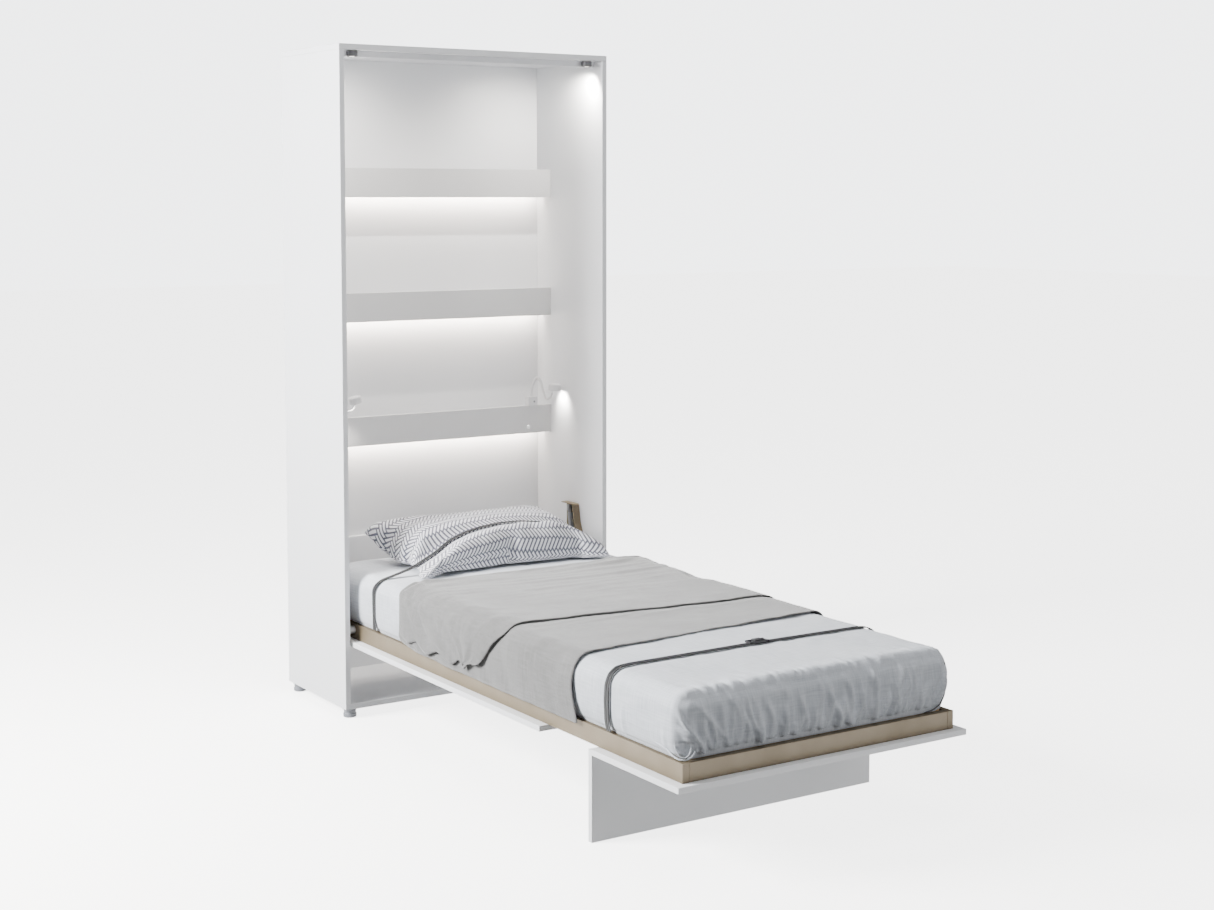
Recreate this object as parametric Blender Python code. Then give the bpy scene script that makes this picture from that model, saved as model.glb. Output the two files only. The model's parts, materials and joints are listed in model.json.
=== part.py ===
"""Single vertical wall bed: a tall cabinet with three lit shelves and a fold-down bed.

Metres, +Z up. +X is the right-hand side seen from the front, and the bed's foot points to -Y.
Sizes are laid out from the cabinet: y = 0 is its front, z = 0 the floor. Every piece hangs from
one empty that puts the origin under the middle of the opened bed and its cabinet.
"""

import math

import bmesh
import bpy
from mathutils import Matrix, Vector

# ---------------------------------------------------------------- driving sizes

GAP = 0.0003  # between pieces that touch

# Cabinet
WIDTH = 1.010
DEPTH = 0.4535
HEIGHT = 2.176
BOARD = 0.018
BACK_BOARD = 0.016
BACK_INSET = 0.001
FOOT_HEIGHT = 0.030
FOOT_RADIUS = 0.022
FOOT_FROM_FRONT = 0.030
FOOT_FROM_SIDE = 0.028
RAIL_BOARD = 0.016
TOP_RAIL_HEIGHT = 0.0185
TOP_RAIL_FROM_FRONT = 0.052
HEAD_RAIL_LOW = 0.415
HEAD_RAIL_HEIGHT = 0.100

# Shelves
SHELF_COUNT = 3
SHELF_FIRST_LOW = 0.840
SHELF_PITCH = 0.425
FASCIA_HEIGHT = 0.100
SHELF_BOARD = 0.016
SHELF_DEPTH = 0.095
SHELF_ABOVE_FASCIA_LOW = 0.024
LED_WIDTH = 0.014
LED_HEIGHT = 0.008
LED_END_SPACE = 0.020

# Bed
BED_WIDTH = 0.9014
BED_REACH = 1.8047  # cabinet front to the frame's foot end
BED_INSIDE = 0.245  # cabinet front to the frame's head end, inside
FRAME_LOW = 0.251
FRAME_HEIGHT = 0.050
RAIL_THICK = 0.020
PIVOT_Y = 0.045
PIVOT_Z = 0.282
FRONT_BOARD = 0.016
FRONT_SIDE_GAP = 0.008  # front board to the side panels
FRONT_PAST_FRAME = 0.0230
FRONT_INSIDE = 0.262
LEG_FROM_FOOT = 0.3867  # frame's foot end to the leg's head-side face
LEG_NARROWER = 0.001
LEG_AXIS_IN = 0.003  # leg's head-side face to its hinge axis
LEG_AXIS_DOWN = 0.0011  # leg's top edge to its hinge axis
LEG_FOLD_GAP = 0.003
LEG_CLEAR = 0.0004  # folded leg's top corner to the frame
LEG_FOOT_GAP = 0.0012  # leg's turning corner to the foot board
CROSS_RAIL_HALF = 0.015
CROSS_RAIL_FORWARD = 0.009
CROSS_RAIL_UP = 0.012
SLAT_END_SPACE = 0.012
SLAT_COUNT = 14
SLAT_WIDTH = 0.065
SLAT_THICK = 0.008
BATTEN = 0.0115
BATTEN_WIDTH = 0.024

# Leg hinges
HINGE_HALF = 0.020
HINGE_PIN_PLAY = 0.0004
LUG_HALF = 0.006
KNUCKLE_PLAY = 0.0006
BARREL = 0.0042
HINGE_PIN = 0.0022
LEAF_THICK = 0.002
LEAF_HEIGHT = 0.040
NOTCH_DEEP = 0.0060
NOTCH_SPARE = 0.002  # each side of the hinge

# Mattress and bedding
MATTRESS_PROUD = 0.0013  # past the frame on each side
MATTRESS_TOP = 0.470
MATTRESS_ROUND = 0.042
MATTRESS_SHORT = 0.004  # mattress end to frame end
PILLOW_SHARE = 0.405  # half its length, as a share of the bed's width
PILLOW_HALF_WIDTH = 0.208
PILLOW_MIDDLE = (0.010, -0.022)
PILLOW_HEIGHT = 0.142
PILLOW_BACK_LIFT = 0.030
PILLOW_EDGE = 0.016
PILLOW_RIM = 0.012
BLANKET_HEAD = 0.270
BLANKET_SHARE = 0.701  # how far down the bed it reaches
BLANKET_THICK = 0.005
BLANKET_CLEAR = 0.0015
BLANKET_HEM = 0.306
STRAP_WIDTH = 0.022
STRAP_THICK = 0.0015
STRAP_CLEAR = 0.0012
STRAP_LOW = 0.3045
STRAP_PAST_PILLOW = 0.030
STRAP_OVER_PILLOW = 0.0045
STRAP_OVER_SHEET = 0.010
HEAD_STRAP_Y = -0.110
FOOT_STRAP_FROM_FOOT = 0.3277
BUCKLE = (0.062, 0.028, 0.006)

# Hinge fittings and gas springs
PLATE_THICK = 0.004
PLATE_CLEAR = 0.0005
PLATE_TOP = 0.600
PLATE_BACK = 0.229
PLATE_LIP = 0.0275  # side panel's inner face to the lip's edge
PLATE_LIP_THICK = 0.0025
PIN_RADIUS = 0.008
PIN_COLLAR = 0.013
PIN_PLAY = 0.0004
COLLAR_PLAY = 0.0012
PLATE_NOSE = 0.028  # radius round the pivot
SPRING_Y = 0.190
SPRING_Z = 0.585
SPRING_RADIUS = 0.009
SPRING_X_FROM_SIDE = 0.0175
SPRING_BODY = 0.215
SPRING_CAP = 0.010
ROD_RADIUS = 0.004
ROD_BORE_PLAY = 0.0005
ROD_INSIDE = 0.130
EYE_RADIUS = 0.0085
EYE_BORE = 0.0042
EYE_HALF = 0.006
STUD_CLEAR = 0.0006  # the arm's stud stops beside the eye
ARM_REACH = 0.090
ARM_ANGLE = math.radians(10)
ARM_THICK = 0.005
ARM_START = 0.030  # from the bed's pivot
ARM_END_RADIUS = 0.013
STUD_RADIUS = 0.004

# Lights and switches
SPOT_RADIUS = 0.018
SPOT_HEIGHT = 0.020
SPOT_FROM_SIDE = 0.043
SPOT_Y = 0.033
LAMP_FROM_SIDE = 0.083
LAMP_BASE = (0.038, 0.022, 0.031)
LAMP_REACH = (0.080, 0.046)  # sideways from each foot to its head, left and right
LAMP_OUT = (0.0545, 0.0685)  # forward of the shelf's face
LAMP_RISE = (0.016, 0.018)
LAMP_NECK_RADIUS = 0.0044
LAMP_HEAD_RADIUS = 0.0225
LAMP_HEAD_HEIGHT = 0.024
LAMP_BALL = 0.0045
LAMP_BALL_GAP = 0.0006
LAMP_BOSS = (0.009, 0.0045)  # length and radius
LAMP_HEAD_OUT = 0.012  # head's middle ahead of its tilting axis
LAMP_LEAN = (math.radians(-14), math.radians(4))
BUTTON_DEPTH = 0.006
BUTTON_PLAY = 0.0003
SWITCH_ASIDE = 0.006
SWITCH_UP = 0.014
SWITCH_RADIUS = 0.0035
SWITCH_TRAVEL = 0.001
TOUCH_RADIUS = 0.0075
TOUCH_FROM_SIDE = 0.097
TOUCH_ABOVE_FASCIA_LOW = 0.022
TOUCH_TRAVEL = 0.001

# ---------------------------------------------------------------- sizes that follow

SIDE_IN = WIDTH / 2 - BOARD
BOTTOM_TOP = FOOT_HEIGHT + BOARD
TOP_LOW = HEIGHT - BOARD
BACK_FACE = DEPTH - BACK_INSET - BACK_BOARD
FASCIA_FRONT = BACK_FACE - SHELF_DEPTH
FASCIA_BACK = FASCIA_FRONT + RAIL_BOARD
FRAME_TOP = FRAME_LOW + FRAME_HEIGHT
FRAME_HALF = BED_WIDTH / 2
FRAME_IN = FRAME_HALF - RAIL_THICK
FRONT_HALF = SIDE_IN - FRONT_SIDE_GAP
LEG_HALF = FRONT_HALF - LEG_NARROWER
MATTRESS_HALF = FRAME_HALF + MATTRESS_PROUD
PILLOW_HALF_LENGTH = BED_WIDTH * PILLOW_SHARE
BLANKET_FOOT = BED_REACH * BLANKET_SHARE
FOOT_STRAP_Y = FOOT_STRAP_FROM_FOOT - BED_REACH
FRONT_TOP = FRAME_LOW - GAP
FRONT_LOW = FRONT_TOP - FRONT_BOARD
FRONT_REACH = BED_REACH + FRONT_PAST_FRAME
LEG_BACK = LEG_FROM_FOOT - BED_REACH
LEG_FRONT = LEG_BACK - FRONT_BOARD
LEG_AXIS_Y = LEG_BACK - LEG_AXIS_IN
LEG_AXIS_Z = FRAME_LOW - LEG_CLEAR - math.hypot(LEG_AXIS_IN, LEG_AXIS_DOWN)
LEG_TOP = LEG_AXIS_Z + LEG_AXIS_DOWN
FRONT_HEAD_END = LEG_AXIS_Y + LEG_AXIS_Z + LEG_FOLD_GAP
FRONT_FOOT_START = LEG_AXIS_Y - math.hypot(FRONT_BOARD - LEG_AXIS_IN, LEG_AXIS_DOWN) - LEG_FOOT_GAP
PLATE_OUT = SIDE_IN - PLATE_CLEAR
PLATE_IN = PLATE_OUT - PLATE_THICK
SPRING_X = SIDE_IN - SPRING_X_FROM_SIDE
SPOT_X = SIDE_IN - SPOT_FROM_SIDE
LAMP_X = SIDE_IN - LAMP_FROM_SIDE
TOUCH_X = SIDE_IN - TOUCH_FROM_SIDE
HINGE_X = BED_WIDTH / 3
SHIFT = (FRONT_REACH - DEPTH) / 2  # puts the origin half way along the opened bed

SIDES = (("left", -1), ("right", 1))


# ---------------------------------------------------------------- materials

def material(name, colour, roughness, metallic=0.0):
    made = bpy.data.materials.new(name)
    made.use_nodes = True
    shader = made.node_tree.nodes["Principled BSDF"]
    shader.inputs["Base Color"].default_value = (*colour, 1)
    shader.inputs["Roughness"].default_value = roughness
    shader.inputs["Metallic"].default_value = metallic
    made.diffuse_color = (*colour, 1)
    return made


# ---------------------------------------------------------------- modelling helpers

def clear_scene():
    for old in list(bpy.data.objects):
        bpy.data.objects.remove(old, do_unlink=True)


def add_object(name, mesh, finish, place=(0, 0, 0), parent=None):
    """A named object at a place in cabinet coordinates, under the shifting empty."""
    made = bpy.data.objects.new(name, mesh)
    bpy.context.scene.collection.objects.link(made)
    mesh.materials.append(finish)
    made.location = place
    made.parent = parent
    return made


def mesh_of(name, shape):
    mesh = bpy.data.meshes.new(name)
    bmesh.ops.recalc_face_normals(shape, faces=shape.faces)
    if shape.calc_volume(signed=True) < 0:
        bmesh.ops.reverse_faces(shape, faces=shape.faces)
    shape.to_mesh(mesh)
    shape.free()
    return mesh


def box_shape(low, high):
    shape = bmesh.new()
    bmesh.ops.create_cube(shape, size=1)
    middle = [(a + b) / 2 for a, b in zip(low, high)]
    size = [b - a for a, b in zip(low, high)]
    bmesh.ops.scale(shape, vec=size, verts=shape.verts)
    bmesh.ops.translate(shape, vec=middle, verts=shape.verts)
    return shape


def bevel(piece, width, segments=1):
    modifier = piece.modifiers.new("edges", "BEVEL")
    modifier.width = width
    modifier.segments = segments
    modifier.limit_method = "ANGLE"
    modifier.angle_limit = math.radians(40)


def box(name, low, high, finish, parent, origin=None, edge=0.0008, segments=1):
    """A board or bar between two corners, with its edges eased. Its origin is its middle."""
    origin = Vector(origin or [(a + b) / 2 for a, b in zip(low, high)])
    shape = box_shape(Vector(low) - origin, Vector(high) - origin)
    made = add_object(name, mesh_of(name, shape), finish, origin, parent)
    if edge:
        bevel(made, edge, segments)
    return made


def prism_shape(outline, start, end, axis):
    """A closed outline of (a, b) points extruded along an axis: x takes (y, z), y takes (x, z)."""
    def point(a, b, depth):
        return {"x": (depth, a, b), "y": (a, depth, b), "z": (a, b, depth)}[axis]

    shape = bmesh.new()
    rings = [[shape.verts.new(point(a, b, depth)) for a, b in outline] for depth in (start, end)]
    shape.faces.new(rings[0])
    shape.faces.new(list(reversed(rings[1])))
    for i in range(len(outline)):
        j = (i + 1) % len(outline)
        shape.faces.new((rings[0][i], rings[1][i], rings[1][j], rings[0][j]))
    return shape


def arc(middle, radius, first, last, steps):
    """Points on an arc, angles in degrees."""
    angles = [math.radians(first + (last - first) * i / steps) for i in range(steps + 1)]
    return [(middle[0] + radius * math.cos(a), middle[1] + radius * math.sin(a)) for a in angles]


def turned_shape(profile, axis, sides=24):
    """A profile of (distance along the axis, radius) turned round the axis. Radius 0 closes an end."""
    along = {"x": Vector((1, 0, 0)), "y": Vector((0, 1, 0)), "z": Vector((0, 0, 1))}[axis]
    across = {"x": Vector((0, 1, 0)), "y": Vector((0, 0, 1)), "z": Vector((1, 0, 0))}[axis]
    other = along.cross(across)
    shape = bmesh.new()
    rings = []
    for distance, radius in profile:
        if radius == 0:
            rings.append([shape.verts.new(along * distance)])
            continue
        turns = [2 * math.pi * i / sides for i in range(sides)]
        rings.append([
            shape.verts.new(along * distance + (across * math.cos(t) + other * math.sin(t)) * radius)
            for t in turns
        ])
    for first, second in zip(rings, rings[1:]):
        for i in range(sides):
            j = (i + 1) % sides
            corners = [first[i % len(first)], first[j % len(first)],
                       second[j % len(second)], second[i % len(second)]]
            face = list(dict.fromkeys(corners))
            if len(face) > 2:
                shape.faces.new(face)
    return shape


def turned(name, profile, axis, place, finish, parent, sides=24):
    shape = turned_shape(profile, axis, sides)
    made = add_object(name, mesh_of(name, shape), finish, place, parent)
    made.data.shade_smooth()
    made.data.set_sharp_from_angle(angle=math.radians(35))
    return made


def rod_profile(length, radius, ease=0.0005):
    """A plain cylinder with eased ends, from 0 to its length."""
    return [(0, 0), (0, radius - ease), (ease, radius), (length - ease, radius),
            (length, radius - ease), (length, 0)]


def boolean(piece, shape, place, operation="DIFFERENCE"):
    """Cuts a shape from a piece, or joins it on. The helper is hidden from the render."""
    name = piece.name + "_" + operation.lower() + str(len(piece.modifiers))
    helper = bpy.data.objects.new(name, mesh_of(name, shape))
    bpy.context.scene.collection.objects.link(helper)
    helper.location = place
    helper.parent = piece.parent
    helper.hide_render = True
    helper.display_type = "WIRE"
    modifier = piece.modifiers.new(operation.lower(), "BOOLEAN")
    modifier.operation = operation
    modifier.object = helper
    modifier.solver = "EXACT"


def bore(piece, place, axis, radius, start, end, sides=24):
    boolean(piece, turned_shape(rod_profile(end - start, radius, 0), axis, sides),
            [place[i] + (start if "xyz"[i] == axis else 0) for i in range(3)])


def smooth_path(points, per_span=6):
    """A Catmull-Rom curve through the given points."""
    spots = [Vector(p) for p in points]
    spots = [spots[0] * 2 - spots[1], *spots, spots[-1] * 2 - spots[-2]]
    route = []
    for a, b, c, d in zip(spots, spots[1:], spots[2:], spots[3:]):
        for i in range(per_span):
            t = i / per_span
            route.append(0.5 * (2 * b + (c - a) * t + (2 * a - 5 * b + 4 * c - d) * t * t
                                + (3 * b - a - 3 * c + d) * t ** 3))
    route.append(spots[-2])
    return route


def tube(name, route, radius, finish, parent, place):
    """A round tube along a route, whose points are measured from the place."""
    curve = bpy.data.curves.new(name, "CURVE")
    curve.dimensions = "3D"
    curve.bevel_depth = radius
    curve.bevel_resolution = 3
    curve.use_fill_caps = True
    spline = curve.splines.new("POLY")
    spline.points.add(len(route) - 1)
    for point, spot in zip(spline.points, route):
        point.co = (*spot, 1)
    return add_object(name, curve, finish, place, parent)


# ---------------------------------------------------------------- cabinet

def make_cabinet(finish, parent):
    half = WIDTH / 2
    box("top_board", (-half, 0, TOP_LOW), (half, DEPTH, HEIGHT), finish["white"], parent)
    box("bottom_board", (-half, 0, FOOT_HEIGHT), (half, DEPTH, BOTTOM_TOP), finish["white"], parent)
    for side, sign in SIDES:
        inner, outer = sorted((sign * SIDE_IN, sign * half))
        box("side_panel_" + side, (inner, 0, BOTTOM_TOP + GAP), (outer, DEPTH, TOP_LOW - GAP),
            finish["white"], parent)
    inside = SIDE_IN - GAP
    box("back_panel", (-inside, BACK_FACE, BOTTOM_TOP + GAP),
        (inside, BACK_FACE + BACK_BOARD, TOP_LOW - GAP), finish["white"], parent)
    box("top_rail", (-inside, TOP_RAIL_FROM_FRONT, TOP_LOW - GAP - TOP_RAIL_HEIGHT),
        (inside, TOP_RAIL_FROM_FRONT + RAIL_BOARD, TOP_LOW - GAP), finish["white"], parent)
    box("head_rail", (-inside, BACK_FACE - GAP - RAIL_BOARD, HEAD_RAIL_LOW),
        (inside, BACK_FACE - GAP, HEAD_RAIL_LOW + HEAD_RAIL_HEIGHT), finish["white"], parent)


def make_feet(finish, parent):
    """Round glides with a wide sole, a waist and a flange under the bottom board."""
    top = FOOT_HEIGHT - GAP
    profile = [(0, 0), (0, FOOT_RADIUS - 0.002), (0.002, FOOT_RADIUS), (0.012, FOOT_RADIUS),
               (0.014, FOOT_RADIUS - 0.002), (top - 0.006, FOOT_RADIUS - 0.002),
               (top - 0.005, FOOT_RADIUS + 0.001), (top, FOOT_RADIUS + 0.001), (top, 0)]
    for end, y in (("front", FOOT_FROM_FRONT), ("back", DEPTH - FOOT_FROM_FRONT)):
        for side, sign in SIDES:
            x = sign * (WIDTH / 2 - FOOT_FROM_SIDE)
            turned("foot_" + end + "_" + side, profile, "z", (x, y, 0), finish["foot"], parent)


def make_shelves(finish, parent):
    inside = SIDE_IN - 2 * GAP
    for number in range(SHELF_COUNT):
        low = SHELF_FIRST_LOW + number * SHELF_PITCH
        label = str(number + 1)
        fascia = box("shelf_fascia_" + label, (-inside, FASCIA_FRONT, low),
                     (inside, FASCIA_BACK, low + FASCIA_HEIGHT), finish["grey"], parent)
        if number == 0:
            make_touch_switch(fascia, low, finish, parent)
        board_low = low + SHELF_ABOVE_FASCIA_LOW
        box("shelf_board_" + label, (-inside, FASCIA_BACK + GAP, board_low),
            (inside, BACK_FACE - GAP, board_low + SHELF_BOARD), finish["white"], parent)
        led_top = board_low - GAP
        box("led_strip_" + label,
            (-inside + LED_END_SPACE, FASCIA_BACK + GAP, led_top - LED_HEIGHT),
            (inside - LED_END_SPACE, FASCIA_BACK + GAP + LED_WIDTH, led_top), finish["led"], parent)


def make_touch_switch(fascia, fascia_low, finish, parent):
    """A small round push switch in the lowest fascia. Its origin is on its own sliding axis."""
    z = fascia_low + TOUCH_ABOVE_FASCIA_LOW
    depth = BUTTON_DEPTH
    proud = TOUCH_TRAVEL + 0.0005
    place = (TOUCH_X, FASCIA_FRONT, z)
    bore(fascia, place, "y", TOUCH_RADIUS + BUTTON_PLAY, -0.002, depth)
    turned("touch_switch", rod_profile(depth - TOUCH_TRAVEL - GAP + proud, TOUCH_RADIUS), "y",
           (TOUCH_X, FASCIA_FRONT - proud, z), finish["chrome"], parent)


# ---------------------------------------------------------------- lights

def make_spotlights(finish, parent):
    """Two small round spotlights hung under the top board, just inside the front."""
    top = TOP_LOW - GAP
    profile = [(0.002, 0), (0.002, SPOT_RADIUS - 0.006), (0.0005, SPOT_RADIUS - 0.005),
               (0, SPOT_RADIUS - 0.0025), (0.0015, SPOT_RADIUS), (SPOT_HEIGHT - 0.003, SPOT_RADIUS),
               (SPOT_HEIGHT - 0.0025, SPOT_RADIUS - 0.002), (SPOT_HEIGHT, SPOT_RADIUS - 0.002),
               (SPOT_HEIGHT, 0)]
    for side, sign in SIDES:
        turned("spotlight_" + side, profile, "z", (sign * SPOT_X, SPOT_Y, top - SPOT_HEIGHT),
               finish["dark_metal"], parent, 28)


def lamp_places():
    """For each side: the neck's foot, the neck's end under the head, and the head's lean."""
    fascia_top = SHELF_FIRST_LOW + FASCIA_HEIGHT
    foot_z = fascia_top + GAP + LAMP_BASE[2]
    foot_y = FASCIA_FRONT + 0.002
    return (
        ("left", (-LAMP_X, foot_y, foot_z), (LAMP_REACH[0] - LAMP_X, FASCIA_FRONT - LAMP_OUT[0],
                                             foot_z + LAMP_RISE[0]), LAMP_LEAN[0]),
        ("right", (LAMP_X, foot_y, foot_z), (LAMP_X + LAMP_REACH[1], FASCIA_FRONT - LAMP_OUT[1],
                                             foot_z + LAMP_RISE[1]), LAMP_LEAN[1]),
    )


def make_lamps(finish, parent):
    fascia_top = SHELF_FIRST_LOW + FASCIA_HEIGHT
    for side, foot, end, lean in lamp_places():
        x, y, top = foot
        low = (x - LAMP_BASE[0] / 2, y - LAMP_BASE[1] / 2, fascia_top + GAP)
        high = (x + LAMP_BASE[0] / 2, y + LAMP_BASE[1] / 2, top)
        base = box("lamp_base_" + side, low, high, finish["lamp"], parent, edge=0)
        make_lamp_switch(side, base, (x + SWITCH_ASIDE, low[1], low[2] + SWITCH_UP), finish, parent)
        make_lamp_neck(side, Vector(foot), Vector(end), finish, parent)
        make_lamp_head(side, Vector(end), lean, finish, parent)


def make_lamp_switch(side, base, place, finish, parent):
    depth = BUTTON_DEPTH
    proud = SWITCH_TRAVEL + 0.0004
    bore(base, place, "y", SWITCH_RADIUS + BUTTON_PLAY, -0.002, depth, 16)
    turned("lamp_switch_" + side, rod_profile(depth - SWITCH_TRAVEL - GAP + proud, SWITCH_RADIUS, 0.0004),
           "y", (place[0], place[1] - proud, place[2]), finish["foot"], parent, 16)


def make_lamp_neck(side, foot, end, finish, parent):
    """A bent gooseneck: up from its base, over, down, and up again to the head's ball joint."""
    across = Vector((end.x - foot.x, end.y - foot.y, 0))
    base_top = foot + Vector((0, 0, GAP))
    steps = ((0.0, 0.0), (0.02, 0.020), (0.10, 0.050), (0.28, 0.071), (0.45, 0.055), (0.56, 0.024),
             (0.70, -0.003), (0.86, -0.002), (0.96, 0.006))
    spots = [base_top + across * share + Vector((0, 0, rise)) for share, rise in steps]
    route = smooth_path([p - foot for p in spots] + [end - foot], 4)
    neck = tube("lamp_neck_" + side, route, LAMP_NECK_RADIUS, finish["lamp"], parent, foot)
    return neck


def make_lamp_head(side, end, lean, finish, parent):
    """A flat round head on a short boss over the neck's end. Its origin is on its tilting axis."""
    lift = LAMP_BALL + LAMP_BALL_GAP
    boss = turned_shape(rod_profile(*LAMP_BOSS, 0), "z", 16)
    rim = LAMP_HEAD_RADIUS
    tall = LAMP_HEAD_HEIGHT
    profile = [(0.002, 0), (0.002, rim - 0.005), (0, rim - 0.004), (0, rim - 0.001), (0.001, rim),
               (tall - 0.005, rim), (tall - 0.0015, rim - 0.0015), (tall, rim - 0.005), (tall, 0)]
    place = Vector(end)
    out = Vector((0.0, -LAMP_HEAD_OUT, lift + LAMP_BOSS[0] - 0.005))
    head = turned_shape(profile, "z", 32)
    bmesh.ops.translate(head, vec=out, verts=head.verts)
    made = add_object("lamp_head_" + side, mesh_of("lamp_head_" + side, head), finish["lamp"],
                      place, parent)
    made.rotation_euler = (0, lean, 0)
    helper_turn = Matrix.Rotation(lean, 4, "Y")
    bmesh.ops.translate(boss, vec=(0, 0, lift), verts=boss.verts)
    bmesh.ops.transform(boss, matrix=helper_turn, verts=boss.verts)
    boolean(made, boss, place, "UNION")
    made.data.shade_smooth()
    made.data.set_sharp_from_angle(angle=math.radians(35))
    return made


# ---------------------------------------------------------------- hinge fittings and gas springs

def plate_outline():
    """The hinge plate in (y, z): narrow at the top, wide round the pivot at the bottom."""
    nose = arc((PIVOT_Y, PIVOT_Z), PLATE_NOSE, 165, 270, 6)
    top = [(PLATE_BACK, PLATE_TOP - 0.003), (PLATE_BACK - 0.003, PLATE_TOP),
           (SPRING_Y - 0.034, PLATE_TOP), (SPRING_Y - 0.038, PLATE_TOP - 0.004),
           (SPRING_Y - 0.049, PLATE_TOP - 0.065), (SPRING_Y - 0.074, PLATE_TOP - 0.126)]
    return [(PLATE_BACK, PIVOT_Z - PLATE_NOSE), *top, *nose]


def plate_lip():
    """The folded lip round the plate's top and down its front edge, as an outline in (y, z)."""
    run = [(PLATE_BACK, PLATE_TOP), *plate_outline()[2:]][:6]
    run = [(y, z) for y, z in run if z > PLATE_TOP - 0.130]
    inner = []
    for i, spot in enumerate(run):
        before = Vector(run[max(i - 1, 0)])
        after = Vector(run[min(i + 1, len(run) - 1)])
        along = (after - before).normalized()
        inner.append((spot[0] - along.y * PLATE_LIP_THICK, spot[1] + along.x * PLATE_LIP_THICK))
    return [*run, *reversed(inner)]


def make_hinge_plates(finish, parent):
    for side, sign in SIDES:
        shape = prism_shape(plate_outline(), sign * PLATE_IN, sign * PLATE_OUT, "x")
        plate = add_object("hinge_plate_" + side, mesh_of("hinge_plate_" + side, shape),
                           finish["champagne"], (0, 0, 0), parent)
        bore(plate, (0, PIVOT_Y, PIVOT_Z), "x", PIN_RADIUS + PIN_PLAY,
             min(sign * PLATE_IN, sign * PLATE_OUT) - 0.01, max(sign * PLATE_IN, sign * PLATE_OUT) + 0.01)
        spring_pin_end = SPRING_X + SPRING_RADIUS - 0.0015
        boss = turned_shape(rod_profile(PLATE_IN + 0.002 - spring_pin_end, STUD_RADIUS, 0), "x", 16)
        start = spring_pin_end if sign > 0 else -PLATE_IN - 0.002
        boolean(plate, boss, (start, SPRING_Y, SPRING_Z), "UNION")
        lip = prism_shape(plate_lip(), sign * (SIDE_IN - PLATE_LIP), sign * (PLATE_IN + 0.002), "x")
        boolean(plate, lip, (0, 0, 0), "UNION")


def make_pivot_pins(finish, parent):
    """The bed turns on these: a shaft through rail and plate, with a collar between them."""
    inner = FRAME_IN + 0.001
    collar_start = FRAME_HALF + COLLAR_PLAY
    collar_end = PLATE_IN - COLLAR_PLAY
    outer = PLATE_OUT - 0.0002
    profile = [(inner, 0), (inner, PIN_RADIUS - 0.0008), (inner + 0.0008, PIN_RADIUS),
               (collar_start, PIN_RADIUS), (collar_start, PIN_COLLAR), (collar_end, PIN_COLLAR),
               (collar_end, PIN_RADIUS), (outer, PIN_RADIUS), (outer, 0)]
    for side, sign in SIDES:
        turned("pivot_pin_" + side, [(sign * d, r) for d, r in profile], "x", (0, PIVOT_Y, PIVOT_Z),
               finish["steel"], parent)


def spring_ends():
    """Where the rod meets the bed's arm, and the spring's length and direction at rest."""
    low_y = PIVOT_Y + ARM_REACH * math.cos(ARM_ANGLE)
    low_z = PIVOT_Z + ARM_REACH * math.sin(ARM_ANGLE)
    down = Vector((0, low_y - SPRING_Y, low_z - SPRING_Z))
    return low_y, low_z, down.length, down.normalized()


def make_gas_springs(finish, parent):
    """A cylinder that hangs from the plate and a rod that slides in it, both modelled pointing down."""
    low_y, low_z, length, down = spring_ends()
    turn = Vector((0, 0, -1)).rotation_difference(down).to_euler()
    end = SPRING_BODY
    bore_radius = ROD_RADIUS + ROD_BORE_PLAY
    rod_top = length - EYE_RADIUS - ROD_INSIDE - (length - end)
    cylinder = [(-end, bore_radius), (-end, SPRING_RADIUS - 0.001), (-end + 0.001, SPRING_RADIUS),
                (-0.022, SPRING_RADIUS), (-0.020, SPRING_RADIUS - 0.002), (-0.014, SPRING_RADIUS - 0.002),
                (-0.010, SPRING_RADIUS), (0.004, SPRING_RADIUS), (SPRING_CAP, SPRING_RADIUS - 0.004),
                (SPRING_CAP, 0)]
    for side, sign in SIDES:
        x = sign * SPRING_X
        body = turned("gas_cylinder_" + side, [(-rod_top + 0.012, 0), (-rod_top + 0.012, bore_radius),
                                               *cylinder], "z", (x, SPRING_Y, SPRING_Z),
                      finish["spring"], parent)
        body.rotation_euler = turn
        stud = turned_shape(rod_profile(SPRING_RADIUS * 2 + 0.004, STUD_RADIUS + 0.0004, 0), "x", 16)
        if sign < 0:
            bmesh.ops.translate(stud, vec=(-SPRING_RADIUS * 2 - 0.004, 0, 0), verts=stud.verts)
        boolean(body, stud, (x - sign * 0.001, SPRING_Y, SPRING_Z))
        stem = [(-length + EYE_RADIUS * 0.6, 0), (-length + EYE_RADIUS * 0.6, ROD_RADIUS),
                (-rod_top - 0.0005, ROD_RADIUS), (-rod_top, ROD_RADIUS - 0.0005), (-rod_top, 0)]
        rod = turned("gas_rod_" + side, stem, "z", (x, SPRING_Y, SPRING_Z), finish["chrome"], parent)
        rod.rotation_euler = turn
        eye = turned_shape([(-EYE_HALF, EYE_BORE), (-EYE_HALF, EYE_RADIUS), (EYE_HALF, EYE_RADIUS),
                            (EYE_HALF, EYE_BORE), (-EYE_HALF, EYE_BORE)], "x", 20)
        bmesh.ops.remove_doubles(eye, verts=eye.verts, dist=0.00001)
        boolean(rod, eye, (x, low_y, low_z), "UNION")


# ---------------------------------------------------------------- bed frame

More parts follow.
